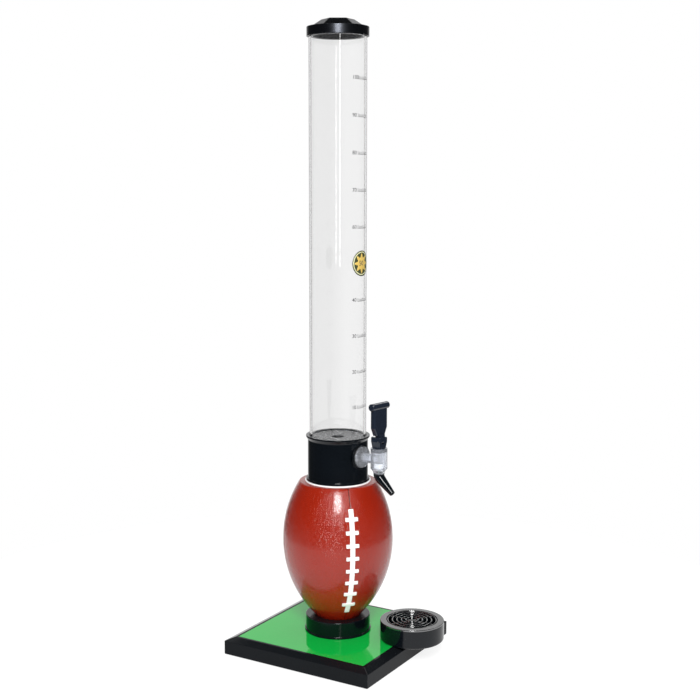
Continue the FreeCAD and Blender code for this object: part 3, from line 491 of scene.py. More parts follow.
seal_rubber = solid_finish(
    "black seal rubber", (0.015, 0.015, 0.016), (0.025, 0.025, 0.026),
    gloss=(0.005, 0.4, 0.6), wave=(0.002, 0.0004, 0.5, 0.00004),
    edge_wear_glint=(0.0004, 0.2, (0.05, 0.05, 0.05)), dusty=(0.0, 0.01))
white_silicone = solid_finish(
    "white food silicone", (0.74, 0.74, 0.72), (0.82, 0.82, 0.80), gloss=(0.005, 0.35, 0.5),
    wave=(0.002, 0.0004, 0.5, 0.00004), edge_wear_glint=(0.0004, 0.1, (0.85, 0.85, 0.85)),
    dusty=(0.0, 0.01))
print("solid finishes made:", len(bpy.data.materials))

# %% Metals: zinc plate with a spangle, and brushed stainless steel
DRAWN_OUT = 0.15  # how fine the pattern is along the rod, as a share of across it
SCRATCH_DEPTH = 0.00003


def metal_finish(name, colour, second, grain, roughness):
    """grain is the size of the pattern, stretched upwards, as drawn wire and rod show."""
    made, tree, shader = start_finish(name)
    drawn = add(tree, "ShaderNodeMapping", {"Vector": object_space(tree), "Scale":
                (1 / grain, 1 / grain, DRAWN_OUT / grain)}).outputs["Vector"]
    streaks = add(tree, "ShaderNodeTexNoise", {"Vector": drawn, "Scale": 1.0,
                  "Detail": 3.0}).outputs["Fac"]
    tone = blend_colours(tree, streaks, rgba(*colour), rgba(*second))
    # Edges are painted paler: partly wear, partly a painted highlight.
    worn_and_glinting = place(tree, edge_wear_and_glint, 0.0004, 0.5)
    feed(shader, {"Metallic": 1.0, "Base Color": blend_colours(tree, worn_and_glinting, tone,
                                                               rgba(0.85, 0.85, 0.86)),
                  "Roughness": remap(tree, streaks, 0.0, 1.0, *roughness),
                  "Normal": bumped(tree, streaks, SCRATCH_DEPTH)})
    return made


zinc_plate = metal_finish("zinc plated steel", (0.50, 0.51, 0.53), (0.66, 0.67, 0.68),
                          0.0012, (0.25, 0.42))
stainless = metal_finish("stainless steel", (0.60, 0.60, 0.60), (0.70, 0.70, 0.70),
                         0.0004, (0.18, 0.30))
print("metal finishes made")

# %% [markdown]
# ## The base board
# A square of lacquered board, milled with a sloping border and a shallow recess for the
# green panel. It could be a cube with bevelled edges, but the border, the land and the
# recess are one cross section, so it is spun round a square path, which also gives the mitred
# corners. The edges are eased by less than a millimetre, enough to catch a line of light.
# %% Board sizes, and a square path with barely rounded corners
PAD_TOP = 1.5
BASE_HALF = 130.0
BASE_EDGE_TOP = 22.8
BASE_LAND_HALF = 117.5
PANEL_TOP = 28.1
PANEL_BOTTOM = 24.9
RECESS_HALF = 113.7
CORNER_SHARE = 0.008  # corner radius, as a share of the half side
square = soften([(x, y, CORNER_SHARE) for x, y in ((1, -1), (1, 1), (-1, 1), (-1, -1))],
                steps=4)
board_outline = soften([(0, PAD_TOP), (BASE_HALF, PAD_TOP, 0.8),
                        (BASE_HALF, BASE_EDGE_TOP, 0.7), (BASE_LAND_HALF, PANEL_TOP, 0.6),
                        (RECESS_HALF, PANEL_TOP, 0.25), (RECESS_HALF, PANEL_BOTTOM, 0.2),
                        (0, PANEL_BOTTOM)], steps=4)
board = piece("base_slab", spin(board_outline, square), black_lacquer, "stand",
              "black_board", "base_board")

# %% [markdown]
# ## Holes in the board
# A boolean cut is the plain way to drill a mesh. The tie rod's counterbore, the four screw
# holes and the two peg holes of the tray stand apart, so one mesh of cylinders cuts them at
# once. The rod's own hole runs into its counterbore, so it is cut after them.
# %% Mark where the holes go
TRAY_PLACE = (21.5, -123.0)
PEG_PLACES = [(TRAY_PLACE[0] + side * 16.0, TRAY_PLACE[1] + 26.0) for side in (-1, 1)]
SCREW_RING = 17.0
SCREW_PLACES = [(SCREW_RING * math.cos(math.radians(a)), SCREW_RING * math.sin(math.radians(a)))
                for a in (45, 135, 225, 315)]
ROD_HOLE = 4.4
ABOVE = 30.0  # past the board's top
COUNTERBORE = ((0, 0), 14.0, -1.0, 14.0)  # place, radius, lowest and highest point
ROD_DRILL = ((0, 0), ROD_HOLE, 13.0, ABOVE)
SCREW_DRILLS = [(spot, 2.5, 9.6, ABOVE) for spot in SCREW_PLACES]
PEG_DRILLS = [(spot, 3.3, 21.1, ABOVE) for spot in PEG_PLACES]
print("holes to drill:", 2 + len(SCREW_DRILLS) + len(PEG_DRILLS))


# %% Drill the board
def rod_outline(radius, low, high, edge=0.0):
    return soften([(0, low), (radius, low, edge), (radius, high, edge), (0, high)], steps=3)


def evaluated_mesh(made):
    """New mesh of an object as it shows, with its modifiers or its lettering worked out."""
    bpy.context.view_layer.update()
    shown = made.evaluated_get(bpy.context.evaluated_depsgraph_get())
    return bpy.data.meshes.new_from_object(shown)


def cut_away(target, cutter):
    """Removes the cutter mesh, in millimetres, from a finished piece."""
    tool = solid("cutter", cutter)
    cut = target.modifiers.new("cut", "BOOLEAN")
    cut.operation = "DIFFERENCE"
    cut.solver = "EXACT"
    cut.object = tool
    old, target.data = target.data, evaluated_mesh(target)
    target.data.shade_smooth()
    target.modifiers.clear()
    keep_flats(target)
    bpy.data.meshes.remove(old)
    bpy.data.objects.remove(tool)
    print(target.name, "now has", len(target.data.polygons), "faces")


for drilled in ([COUNTERBORE, *SCREW_DRILLS, *PEG_DRILLS], [ROD_DRILL]):
    drills = bmesh.new()
    for spot, *sizes in drilled:
        copy_into(drills, slide(spin(rod_outline(*sizes), circle(40)), *spot))
    cut_away(board, drills)

# %% [markdown]
# ## The cup
# A turned ring with a small foot, dished inside to the ball's curve. The dish follows the
# same arc as the ball with a hair of room, so the ball seems to sink in it.
# %% The ball's own arc
BALL_WAIST = 178.4  # height of the widest part
BALL_RADIUS = 87.1
BALL_ARC = 176.7  # radius of the outline, from pole to pole
BALL_BOTTOM = 44.0
BALL_TOP = 271.5


def ball_radius(height, outwards=0.0):
    arc = BALL_ARC + outwards
    return math.sqrt(arc ** 2 - (height - BALL_WAIST) ** 2) - (BALL_ARC - BALL_RADIUS)


print("the ball's flat foot has a radius of", round(ball_radius(BALL_BOTTOM), 1))

# %% Cup
CUP_TOP = 54.0
CUP_RADIUS = 51.2
CUP_FOOT = 52.8
SEAT_ROOM = 0.3
dish = [(ball_radius(z, SEAT_ROOM), z) for z in (53.2, 51.0, 48.5, 46.0, BALL_BOTTOM)]
cup_outline = soften([(ROD_HOLE, PANEL_TOP), (CUP_FOOT, PANEL_TOP, 0.3), (CUP_FOOT, 31.3, 0.7),
                      (CUP_RADIUS, 31.5, 0.5), (CUP_RADIUS, CUP_TOP, 1.3),
                      (ball_radius(CUP_TOP, SEAT_ROOM), CUP_TOP, 0.6), *dish,
                      (ROD_HOLE, BALL_BOTTOM)])
piece("cup", spin(cup_outline, FINE_ROUND), black_moulded, "stand", "black_moulding",
      "ball_cup")

# %% [markdown]
# ## The ball
# Moulded in one piece, but made to look like four sewn panels. The seams are real grooves,
# so they show in profile and catch the light from any side. They could be a bump, but a
# groove costs only a few extra columns in the spin. The pebbles are too many and too small
# for geometry, so they are a bump of rounded cells.
# %% A round path with four grooves
LACE_TURN = -43.5  # degrees about Z from -Y, towards -X
SEAM_DEPTH_SHARE = 0.012
SEAM_STEPS = [(-0.75, 0.0), (-0.5, 0.1), (-0.28, 0.6), (0.0, 1.0), (0.28, 0.6), (0.5, 0.1),
              (0.75, 0.0)]  # degrees aside, and share of the depth
SKIN_STEPS = [(1.5 * i, 0.0) for i in range(1, 60)]
columns = [(90 * k + LACE_TURN - 90 + step, depth) for steps in (SEAM_STEPS, SKIN_STEPS)
           for k in range(4) for step, depth in steps]
skin_path = []
for angle, depth in sorted(columns, key=lambda column: column[0] % 360):
    reach = 1 - SEAM_DEPTH_SHARE * depth
    turn = math.radians(angle)
    skin_path.append(Vector((reach * math.cos(turn), reach * math.sin(turn))))
print("columns round the ball:", len(skin_path))

# %% Pebbles, and thin dark lines where the panels are sewn
PEBBLE = 0.0016
PEBBLE_DEPTH = 0.00027
THREAD_FROM, THREAD_TO = math.radians(0.25), math.radians(0.8)  # dark within, plain beyond
QUARTER = math.radians(90)
ball_skin, tree, shader = start_finish("pebbled red-brown skin")
coordinates = object_space(tree)
cells = add(tree, "ShaderNodeTexVoronoi", {"Vector": coordinates, "Scale": 1 / PEBBLE,
            "Smoothness": 0.6, "Randomness": 0.9}, feature="SMOOTH_F1").outputs["Distance"]
dome = remap(tree, cells, 0.15, 0.6, 1.0, 0.0, interpolation_type="SMOOTHSTEP")
flat = add(tree, "ShaderNodeSeparateXYZ", {0: coordinates}).outputs
bearing = calc(tree, "SUBTRACT", calc(tree, "ARCTAN2", flat["Y"], flat["X"]),
               math.radians(LACE_TURN))
from_seam = add(tree, "ShaderNodeMath", {0: bearing, 1: QUARTER / 2, 2: -QUARTER / 2},
                operation="WRAP").outputs[0]
thread = remap(tree, calc(tree, "ABSOLUTE", from_seam), THREAD_FROM, THREAD_TO, 0.95, 0.0)
print("pebbles are", PEBBLE, "m across and the seams are a quarter of a turn apart")

# %% Colour and gloss of the skin, under clear lacquer
tone = blend_colours(tree, noise(tree, 0.05), rgba(0.285, 0.0120, 0.0012),
                     rgba(0.318, 0.0140, 0.0020))
# The valleys between the pebbles are painted darker: painted shade in the recesses.
tone = blend_colours(tree, dome, rgba(0.250, 0.0100, 0.0012), tone)
tone = blend_colours(tree, thread, tone, rgba(0.022, 0.003, 0.002))
settled = place(tree, dust, 0.004, 0.02)
feed(shader, {"Base Color": blend_colours(tree, settled, tone, DUST),
              "Roughness": place(tree, handled, 0.03, 0.13, 0.17),
              "Normal": bumped(tree, dome, PEBBLE_DEPTH), "Specular IOR Level": 0.6,
              "Coat Weight": 0.15, "Coat Roughness": 0.10})
print(ball_skin.name, "made")

# %% Spin the ball
ROWS = 150
FIRST_ROW = 0.8  # from each flat end
EASED_EDGE = [(0.9, 0.0), (0.25, 0.2)]  # in from the skin, and in from the flat end
low, high = BALL_BOTTOM + FIRST_ROW, BALL_TOP - FIRST_ROW
heights = [low + (high - low) * i / ROWS for i in range(ROWS + 1)]
ball_outline = [(ROD_HOLE, BALL_BOTTOM)]
ball_outline += [(ball_radius(BALL_BOTTOM) - inwards, BALL_BOTTOM + up)
                 for inwards, up in EASED_EDGE]
ball_outline += [(ball_radius(z), z) for z in heights]
ball_outline += [(ball_radius(BALL_TOP) - inwards, BALL_TOP - down)
                 for inwards, down in reversed(EASED_EDGE)]
ball_outline.append((ROD_HOLE, BALL_TOP))
piece("ball", spin(soften(ball_outline), skin_path), ball_skin, "stand", "ball_brown",
      "ball_shell", weighted=False)

# %% [markdown]
# ## The laces
# One long strip and eight cross bars, moulded in white and standing a little proud. Each is
# a rounded block, cut into slices and laid on the ball by a function that turns "sideways,
# outwards, up" into a point on the skin, so it hugs the curve in both directions.
# %% Lay blocks on the ball
LACE_SINK = 0.6  # how far the laces reach into the skin
LACE_ROUNDING = 0.75
STRIP_SIZE = (7.7, 1.6, 171.3)
STRIP_MIDDLE = BALL_WAIST - 20.25
BAR_SIZE = (20.0, 2.6, 5.7)
BAR_LOWEST = BALL_WAIST - 89.7
BAR_PITCH = 20.04


def lace_block(size, middle, slices):
    """Block laid on the front of the ball, with its middle at a height."""
    wide, proud, tall = size

    def onto_skin(x, y, z):
        outwards = proud / 2 - LACE_SINK / 2 - y
        radius = ball_radius(middle + z, outwards)
        return (x, -math.sqrt(radius ** 2 - x ** 2), middle + z)

    deep = (wide, proud + LACE_SINK, tall)
    return lay(sliced_block(deep, slices, LACE_ROUNDING, segments=4), onto_skin)


lacing = lace_block(STRIP_SIZE, STRIP_MIDDLE, (3, 0, 70))
for k in range(8):
    copy_into(lacing, lace_block(BAR_SIZE, BAR_LOWEST + k * BAR_PITCH, (13, 0, 3)))
shift(lacing, Matrix.Rotation(math.radians(LACE_TURN), 4, "Z"))
piece("lacing", lacing, lace_white, "stand", "lace_white", "laces")

# %% [markdown]
# ## Saddle ring and tap collar
# A pale soft ring between the ball's flat top and the collar shows as a thin light line.
# The collar is a plain turned tube with a foot, a flared lip and a shallow boss where the
# tap bolts on. Its inside is stepped: the tube stands on the ledge.
# %% Saddle ring
SADDLE_TOP = 273.5
SADDLE_HOLE = 22.0
SADDLE_RADIUS = 51.8
saddle_outline = soften([(SADDLE_HOLE, BALL_TOP), (SADDLE_RADIUS, BALL_TOP, 0.3),
                         (SADDLE_RADIUS, SADDLE_TOP, 0.6), (SADDLE_HOLE, SADDLE_TOP)])
piece("saddle_ring", spin(saddle_outline, FINE_ROUND), pale_silicone, "stand", "saddle_grey",
      "saddle_gasket")

# %% Collar sizes
COLLAR_FOOT = 50.0
COLLAR_RADIUS = 47.4
COLLAR_LIP = 50.2
COLLAR_BORE = 43.2
SOCKET = 44.75  # the tube's foot stands in this
CHAMBER_FLOOR = 277.5
TUBE_BOTTOM = 331.5
COLLAR_TOP = 345.1
TAP_TURN = -9.5
TAP_HEIGHT = 316.0
SHANK_HOLE = 8.1
BOSS_OUTSIDE, BOSS_FACE = 20.0, 47.7  # radius, and how far out its face is
BOSS_INSIDE, BOSS_BACK = 12.4, 38.5
AT_TAP = Matrix.Rotation(math.radians(TAP_TURN), 4, "Z")
ALONG_SHANK = AT_TAP @ Matrix.Translation((0, 0, TAP_HEIGHT)) @ Matrix.Rotation(
    math.radians(90), 4, "X")
print("the tap is", TAP_HEIGHT, "mm up and turned", TAP_TURN, "degrees")

# %% Tap collar, with a boss outside and another inside for the tap's shank
collar_outline = soften([(ROD_HOLE, SADDLE_TOP), (COLLAR_FOOT, SADDLE_TOP, 0.4),
                         (COLLAR_FOOT, 277.0, 0.8), (COLLAR_RADIUS, 277.3, 0.6),
                         (COLLAR_RADIUS, 338.4, 3.0), (COLLAR_LIP, 342.9, 0.4),
                         (COLLAR_LIP, COLLAR_TOP, 0.7), (SOCKET, COLLAR_TOP, 0.7),
                         (SOCKET, TUBE_BOTTOM, 0.2), (COLLAR_BORE, TUBE_BOTTOM, 0.2),
                         (COLLAR_BORE, CHAMBER_FLOOR, 0.8), (ROD_HOLE, CHAMBER_FLOOR)])
collar = spin(collar_outline, FINE_ROUND)
outer_boss = soften([(SHANK_HOLE, 44.0), (BOSS_OUTSIDE, 44.0),
                     (BOSS_OUTSIDE, BOSS_FACE, 0.35), (SHANK_HOLE, BOSS_FACE, 0.3)])
inner_boss = soften([(SHANK_HOLE, BOSS_BACK, 0.3), (BOSS_INSIDE, BOSS_BACK, 0.4),
                     (BOSS_INSIDE, 44.5), (SHANK_HOLE, 44.5)])
copy_into(collar, shift(spin(outer_boss, circle(96)), ALONG_SHANK))
copy_into(collar, shift(spin(inner_boss, circle(64)), ALONG_SHANK))
piece("collar", collar, black_moulded, "stand", "black_moulding", "tap_collar")

# %% [markdown]
# ## The tube's floor
# The plug inside the tube's foot is seen through the tube as a dark dished disc with a drain
# hole. It is satin where the collar is gloss, so it shows as a grey sheen. The hole widens
# downwards, so that what shows in it is the dark chamber and not its own far wall.
# %% Dished plug
PLUG_RADIUS = 40.9
PLUG_FOOT = 328.9
PLUG_UNDER = 338.4
PLUG_RIM = 343.5
SEAL_LOW, SEAL_HIGH, SEAL_DEEP = 336.1, 338.9, 38.6  # groove for the seal
DRAIN_TOP, DRAIN_UNDER = 8.5, 12.0
floor_satin = solid_finish(
    "satin black floor", (0.012, 0.013, 0.015), (0.022, 0.023, 0.026),
    gloss=(0.01, 0.20, 0.36), wave=(0.006, 0.0006, 0.25, 0.00008),
    edge_wear_glint=(0.0006, 0.4, (0.08, 0.08, 0.085)), dusty=(0.02, 0.02))
floor_outline = soften([(DRAIN_UNDER, PLUG_UNDER, 0.3), (37.4, PLUG_UNDER),
                        (37.4, PLUG_FOOT, 0.3), (COLLAR_BORE, PLUG_FOOT, 0.2),
                        (COLLAR_BORE, TUBE_BOTTOM, 0.2), (PLUG_RADIUS, TUBE_BOTTOM),
                        (PLUG_RADIUS, SEAL_LOW), (SEAL_DEEP, SEAL_LOW),
                        (SEAL_DEEP, SEAL_HIGH), (PLUG_RADIUS, SEAL_HIGH),
                        (PLUG_RADIUS, PLUG_RIM, 0.6), (35.9, PLUG_RIM, 1.5),
                        (DRAIN_TOP, 341.9, 1.2)])
piece("tube_floor", spin(floor_outline), floor_satin, "stand", "black_moulding", "tube_plug")

# %% [markdown]
# ## The clear tube
# A length of acrylic tube, open at both ends, with its wall as a real thickness, so that
# light bends in it. A clear wall also looks dark where it is seen edge on, and its finish
# paints that as shade: a layer weight lays in a darker colour there. The plastic lets lamp
# light pass straight through, so it casts no heavy shadow.
# %% Clear plastic
EDGE_FROM, EDGE_TO = 0.72, 0.84  # facing, from 0 head on to 1 edge on
# Colour painted where a wall is seen edge on: painted shade.
PAINTED_EDGE_SHADE = rgba(0.02, 0.02, 0.025)
LAMP_TINT = rgba(0.93, 0.94, 0.95)
SECOND_TINT = 0.985  # as a share of the first


def mix_shaders(tree, share, first, second):
    return add(tree, "ShaderNodeMixShader", {0: share, 1: first.outputs[0],
                                             2: second.outputs[0]})


def clear_finish(name, tint, ior, gloss, wave, clarity, rim):
    """gloss is (patch size, low, high) roughness, wave is (size, depth), clarity is the
    share of light that passes, and rim is how far the colour is painted dark, as painted shade,
    where a wall is seen edge on."""
    made, tree, shader = start_finish(name)
    second = rgba(*(c * SECOND_TINT for c in tint))
    faint = blend_colours(tree, noise(tree, 0.08), rgba(*tint), second)
    facing = add(tree, "ShaderNodeLayerWeight", {"Blend": 0.5}).outputs["Facing"]
    # Painted shade: the colour goes dark where the wall is seen edge on.
    edge_shade_share = remap(tree, facing, EDGE_FROM, EDGE_TO, 0.0, rim)
    ripple = place(tree, waves, wave[0], 0.02, 0.02)
    feed(shader, {"IOR": ior, "Transmission Weight": clarity,
                  "Base Color": blend_colours(tree, edge_shade_share, faint, PAINTED_EDGE_SHADE),
                  "Roughness": place(tree, handled, *gloss),
                  "Normal": bumped(tree, ripple, wave[1])})
    see_through = add(tree, "ShaderNodeBsdfTransparent", {"Color": LAMP_TINT})
    shadow = add(tree, "ShaderNodeLightPath").outputs["Is Shadow Ray"]
    mixed = mix_shaders(tree, shadow, shader, see_through)
    feed(tree.nodes["Material Output"], {"Surface": mixed.outputs[0]})
    return made


clear_acrylic = clear_finish("clear acrylic", (0.966, 0.966, 0.966), 1.49,
                             gloss=(0.05, 0.0, 0.01), wave=(0.15, 0.000002),
                             clarity=1.0, rim=0.97)
clear_tap = clear_finish("clear tap plastic", (0.70, 0.72, 0.765), 1.52,
                         gloss=(0.008, 0.03, 0.08), wave=(0.005, 0.00007),
                         clarity=0.85, rim=0.8)
print("clear finishes made")

# %% Tube
TUBE_RADIUS = 44.45
TUBE_INSIDE = 41.275
TUBE_TOP = 966.5
LOOP = 1.5  # extra rings this far from the ends keep the long walls' normals level
tube_outline = soften([(TUBE_INSIDE, TUBE_BOTTOM, 0.3), (TUBE_RADIUS, TUBE_BOTTOM, 0.3),
                       (TUBE_RADIUS, TUBE_BOTTOM + LOOP), (TUBE_RADIUS, TUBE_TOP - LOOP),
                       (TUBE_RADIUS, TUBE_TOP, 0.3), (TUBE_INSIDE, TUBE_TOP, 0.3),
                       (TUBE_INSIDE, TUBE_TOP - LOOP), (TUBE_INSIDE, TUBE_BOTTOM + LOOP)],
                      steps=3)
piece("tube", spin(tube_outline, FINE_ROUND), clear_acrylic, "tube", "clear_acrylic",
      "beverage_tube", weighted=False)

# %% [markdown]
# ## The printed scale
# Plain numbers and ruled ticks, ten to a hundred, with a round badge at fifty. Print could
# be a texture, but thin plates wrapped on the tube stay sharp at any size. Text turns into a
# mesh, and one function rolls flat drawing coordinates round the tube.
# %% Inks
def ink(name, colour, second):
    return solid_finish(name, colour, second, gloss=(0.004, 0.35, 0.5),
                        wave=(0.002, 0.0003, 0.5, 0.00001), edge_wear_glint=(0.0001, 0.0, colour),
                        dusty=(0.0, 0.01))


grey_ink = ink("grey ink", (0.07, 0.07, 0.075), (0.10, 0.10, 0.105))
olive_ink = ink("olive ink", (0.045, 0.055, 0.022), (0.065, 0.075, 0.035))
gold_ink = ink("gold ink", (0.62, 0.42, 0.08), (0.70, 0.50, 0.13))
cream_ink = ink("cream ink", (0.82, 0.82, 0.45), (0.88, 0.88, 0.55))
print("inks made")

# %% Roll flat plates round the tube
PLATE = 0.04  # thickness of the print
CLEAR_OF_TUBE = 0.01


def on_tube(turn, height, level):
    """Function that wraps flat (x, y, depth) round the tube from a turn, in degrees from
    -Y, and a height. Each level lies a plate's thickness further out."""
    def wrap(x, y, z):
        angle = math.radians(turn) + x / TUBE_RADIUS
        radius = TUBE_RADIUS + CLEAR_OF_TUBE + PLATE * level + z
        return (radius * math.sin(angle), -radius * math.cos(angle), height + y)
    return wrap


def printed(name, plate, finish):
    piece(name, plate, finish, "tube", "black_moulding", weighted=False)


print("print is", PLATE, "mm thick")


# %% Flat lettering and flat bars
def text_plate(words, size):
    """Flat lettering with its left end at x = 0, centred on y = 0."""
    curve = bpy.data.curves.new("words", "FONT")
    curve.body = words
    curve.size = size
    curve.align_y = "CENTER"
    curve.extrude = PLATE / 2
    curve.offset = 0.06  # a little bolder
    text = put("words", curve)
    flat = evaluated_mesh(text)
    mesh = bmesh.new()
    mesh.from_mesh(flat)
    bmesh.ops.remove_doubles(mesh, verts=mesh.verts, dist=1e-4)
    bpy.data.objects.remove(text)
    bpy.data.meshes.remove(flat)
    return mesh


def bar_plate(left, low, right, high):
    """Flat bar between two corners, sliced every 2 mm or so that it can roll."""
    size = (right - left, high - low, PLATE)
    block = sliced_block(size, (int(size[0] / 2), 0, 0))
    return slide(block, (left + right) / 2, (low + high) / 2)


print("lettering and bars ready")

# %% Print the scale: numbers on a ruled line with short and long ticks
SCALE_TURN = -29.5  # where each line of the scale starts
SCALE_LOWEST = 394.3
SCALE_PITCH = 55.25
NUMBER_SIZE = 8.0
RULE_FROM, RULE_TO = 10.5, 34.0
RULE_LOW, RULE_HIGH = -2.5, -2.0
TICK_WIDTH, TICK_SHORT, TICK_LONG = 0.8, 1.6, 2.8
TICK_GAPS = 8
BADGE_LINE = 4  # counted from nought: the badge takes this line's place
marks = bmesh.new()
for row in range(10):
    if row == BADGE_LINE:
        continue
    line = text_plate(str(10 * (row + 1)), NUMBER_SIZE)
    copy_into(line, bar_plate(RULE_FROM, RULE_LOW, RULE_TO, RULE_HIGH))
    for i in range(TICK_GAPS + 1):
        start = RULE_FROM + i * (RULE_TO - RULE_FROM - TICK_WIDTH) / TICK_GAPS
        copy_into(line, bar_plate(start, RULE_HIGH, start + TICK_WIDTH,
                                  TICK_SHORT if i % 4 else TICK_LONG))
    copy_into(marks, lay(line, on_tube(SCALE_TURN, SCALE_LOWEST + row * SCALE_PITCH, 1)))
printed("scale_print", marks, grey_ink)


# %% A flat plate of any outline
def flat_shape(reach, inner, rings=5, count=96):
    """Flat plate with a hole, fanned in rings so that it can roll. Its edge is at reach,
    which is a function of the share of a turn, and inner is the hole's share of that."""
    plate = bmesh.new()
    sides = []
    for depth in (-PLATE / 2, PLATE / 2):
        loops = []
        for r in range(rings + 1):
            share = inner + (1 - inner) * r / rings
            loops.append([plate.verts.new((p.x * reach(i / count) * share,
                                           p.y * reach(i / count) * share, depth))
                          for i, p in enumerate(circle(count))])
        for near, far in zip(loops, loops[1:]):
            bridge(plate, near, far)
        sides.append(loops)
    for r in (0, rings):
        bridge(plate, sides[0][r], sides[1][r])
    return plate


print("flat shapes ready")

# %% The badge: a disc, a ring, a sunburst and a number
BADGE_TURN = -4.0
BADGE_HEIGHT = SCALE_LOWEST + BADGE_LINE * SCALE_PITCH
PINHOLE = 0.02
RAYS = 8
RAY_INNER, RAY_LONG = 9.5, 6.0
disc = flat_shape(lambda t: 19.5, PINHOLE)
ring = flat_shape(lambda t: 17.6, 0.93, rings=1)
rays = flat_shape(lambda t: RAY_INNER + RAY_LONG * abs(math.cos(math.pi * RAYS * t)) ** 3,
                  PINHOLE, count=192)
number = slide(text_plate("50", 10.5), -6.6, 0)
for name, plate, finish, level in (("badge_disc", disc, olive_ink, 1),
                                   ("badge_ring", ring, cream_ink, 2),
                                   ("badge_rays", rays, gold_ink, 2),
                                   ("badge_number", number, grey_ink, 3)):
    printed(name, lay(plate, on_tube(BADGE_TURN, BADGE_HEIGHT, level)), finish)

# %% [markdown]
# ## The lid
# A shallow cap with a six-sided grip on top. The skirt is round and the grip is a hexagon,
# but both are rings of the same number of points, so one spin goes from one to the other.
# %% Lid cap
LID_RADIUS = 47.4
LID_SKIRT_BOTTOM = 954.2
LID_TOP = 968.5
GRIP_TOP = 980.0
FLAT_SHARE = math.cos(math.radians(30))  # of the radius over a hexagon's corners
LID_COUNT = 192
CORNER_SHARPNESS = 46
HEXAGON = polygon(6, LID_COUNT, CORNER_SHARPNESS, FRONT_TURN)
LID_ROUND = circle(LID_COUNT)


def lid_path(radius, height):
    return HEXAGON if height > LID_TOP + 0.005 else LID_ROUND


# Each point of the grip is a radius over the corners, and a height.
GRIP = [(42.4, LID_TOP + 0.01), (41.9, LID_TOP + 0.25), (41.2, LID_TOP + 0.8), (26.3, 978.5),
        (25.4, 979.1), (24.2, 979.4), (15.0, 979.9), (14.0, GRIP_TOP), (13.0, GRIP_TOP)]
lid_outline = soften([(0, TUBE_TOP), (SOCKET, TUBE_TOP, 0.3), (SOCKET, LID_SKIRT_BOTTOM, 0.3),
                      (LID_RADIUS, LID_SKIRT_BOTTOM, 0.7), (LID_RADIUS, LID_TOP, 1.2),
                      (43.2, LID_TOP)])
lid_outline += [Vector((radius * FLAT_SHARE, height)) for radius, height in GRIP]
lid_outline.append(Vector((0, GRIP_TOP)))
piece("lid", spin(lid_outline, lid_path), black_lid, "lid", "black_moulding", "lid_cap")

# %% [markdown]
# ## The tap
# The tap body stays as the frame made it: its shank, flange and valve chamber are one
# watertight solid, which is what clear plastic needs. The spout is a tapered pipe with a
# bend. A pipe is a row of rings along a path, each ring square to the way the path runs.
# %% A pipe along a path
def pipe(stations, count=48):
    """Rings of (outwards, height, radius), joined in order, with a flat face at each end.
    The path may turn back inside itself, which makes a bore."""
    mesh = bmesh.new()
    rings = []
    for i, (reach, height, radius) in enumerate(stations):
        back = stations[max(i - 1, 0)]
        ahead = stations[min(i + 1, len(stations) - 1)]
        way = Vector((ahead[0] - back[0], ahead[1] - back[1]))
        if way.length < ON_AXIS:
            way = last_way
        way.normalize()
        if i and way.dot(last_way) < 0:
            way = -way
        last_way = way
        centre = Vector((0, -reach, height))
        rings.append([mesh.verts.new(centre + radius * Vector((p.x, p.y * way.y, p.y * way.x)))
                      for p in circle(count)])
    return skin_over(mesh, rings)


print("pipes ready")

# %% Spout: a short upright socket, a bend, a taper, and a bore cut back into its end
VALVE_REACH = 83.3
NECK = 5.2
SPOUT_WIDE = 8.4
SPOUT_DOWN = Vector((27.0, -22.8)).normalized()
SPOUT_TAPER = 0.116  # loss of radius along the spout
SPOUT_LONG = 35.3
BORE = 2.8
BEND_TOP = Vector((VALVE_REACH, 294.4))
ELBOW = Vector((VALVE_REACH, 290.0))
BEND_LONG = 5.0
BEND_STEPS = 8
stations = [(VALVE_REACH, height, radius) for height, radius in (
    (300.0, NECK), (295.5, NECK), (295.4, 8.0), (295.1, SPOUT_WIDE), (294.5, SPOUT_WIDE))]
for k in range(BEND_STEPS + 1):
    t = k / BEND_STEPS
    point = bend(BEND_TOP, ELBOW, ELBOW + SPOUT_DOWN * BEND_LONG, t)
    stations.append((point.x, point.y, SPOUT_WIDE - BEND_LONG * SPOUT_TAPER * t))
for along, radius in ((12.0, 7.0), (22.0, 5.85), (34.3, 4.4), (35.0, 4.2), (SPOUT_LONG, 3.8),
                      (SPOUT_LONG - 0.2, 3.1), (SPOUT_LONG - 1.0, BORE), (16.0, BORE)):
    point = ELBOW + SPOUT_DOWN * along
    stations.append((point.x, point.y, radius))
piece("spout_pipe", shift(pipe(stations), AT_TAP), black_moulded, "stand", "black_moulding",
      "spout")

# %% [markdown]
# ## The closing spring
# The foot of this spring rises with the valve while its head stays under the bonnet, so it
# gets shorter when the tap opens. It could be a curve with a round section; here it is a
# mesh: rings of wire along a helix, wound evenly.
# %% Wind the spring
COIL_RADIUS = 4.6
COIL_WIRE = 0.5
COIL_TURNS = 5
COIL_STEPS = 32
coil_low, coil_high = (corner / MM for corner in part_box("return_spring"))
coil_middle = (coil_low + coil_high) / 2
coil_height = coil_high.z - coil_low.z
coil = bmesh.new()
rings = []
for k in range(COIL_TURNS * COIL_STEPS + 1):
    turn = 2 * math.pi * k / COIL_STEPS
    outwards = Vector((math.cos(turn), math.sin(turn), 0))
    rise = (coil_height - 2 * COIL_WIRE) * k / (COIL_TURNS * COIL_STEPS)
    wire_middle = Vector((*coil_middle.xy, coil_low.z + COIL_WIRE + rise))
    rings.append([coil.verts.new(wire_middle + outwards * (COIL_RADIUS + COIL_WIRE * p.x)
                                 + Vector((0, 0, COIL_WIRE * p.y))) for p in circle(10)])
spring = piece("closing_spring", skin_over(coil, rings), stainless, "stand", "stainless",
               "return_spring")
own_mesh(spring)

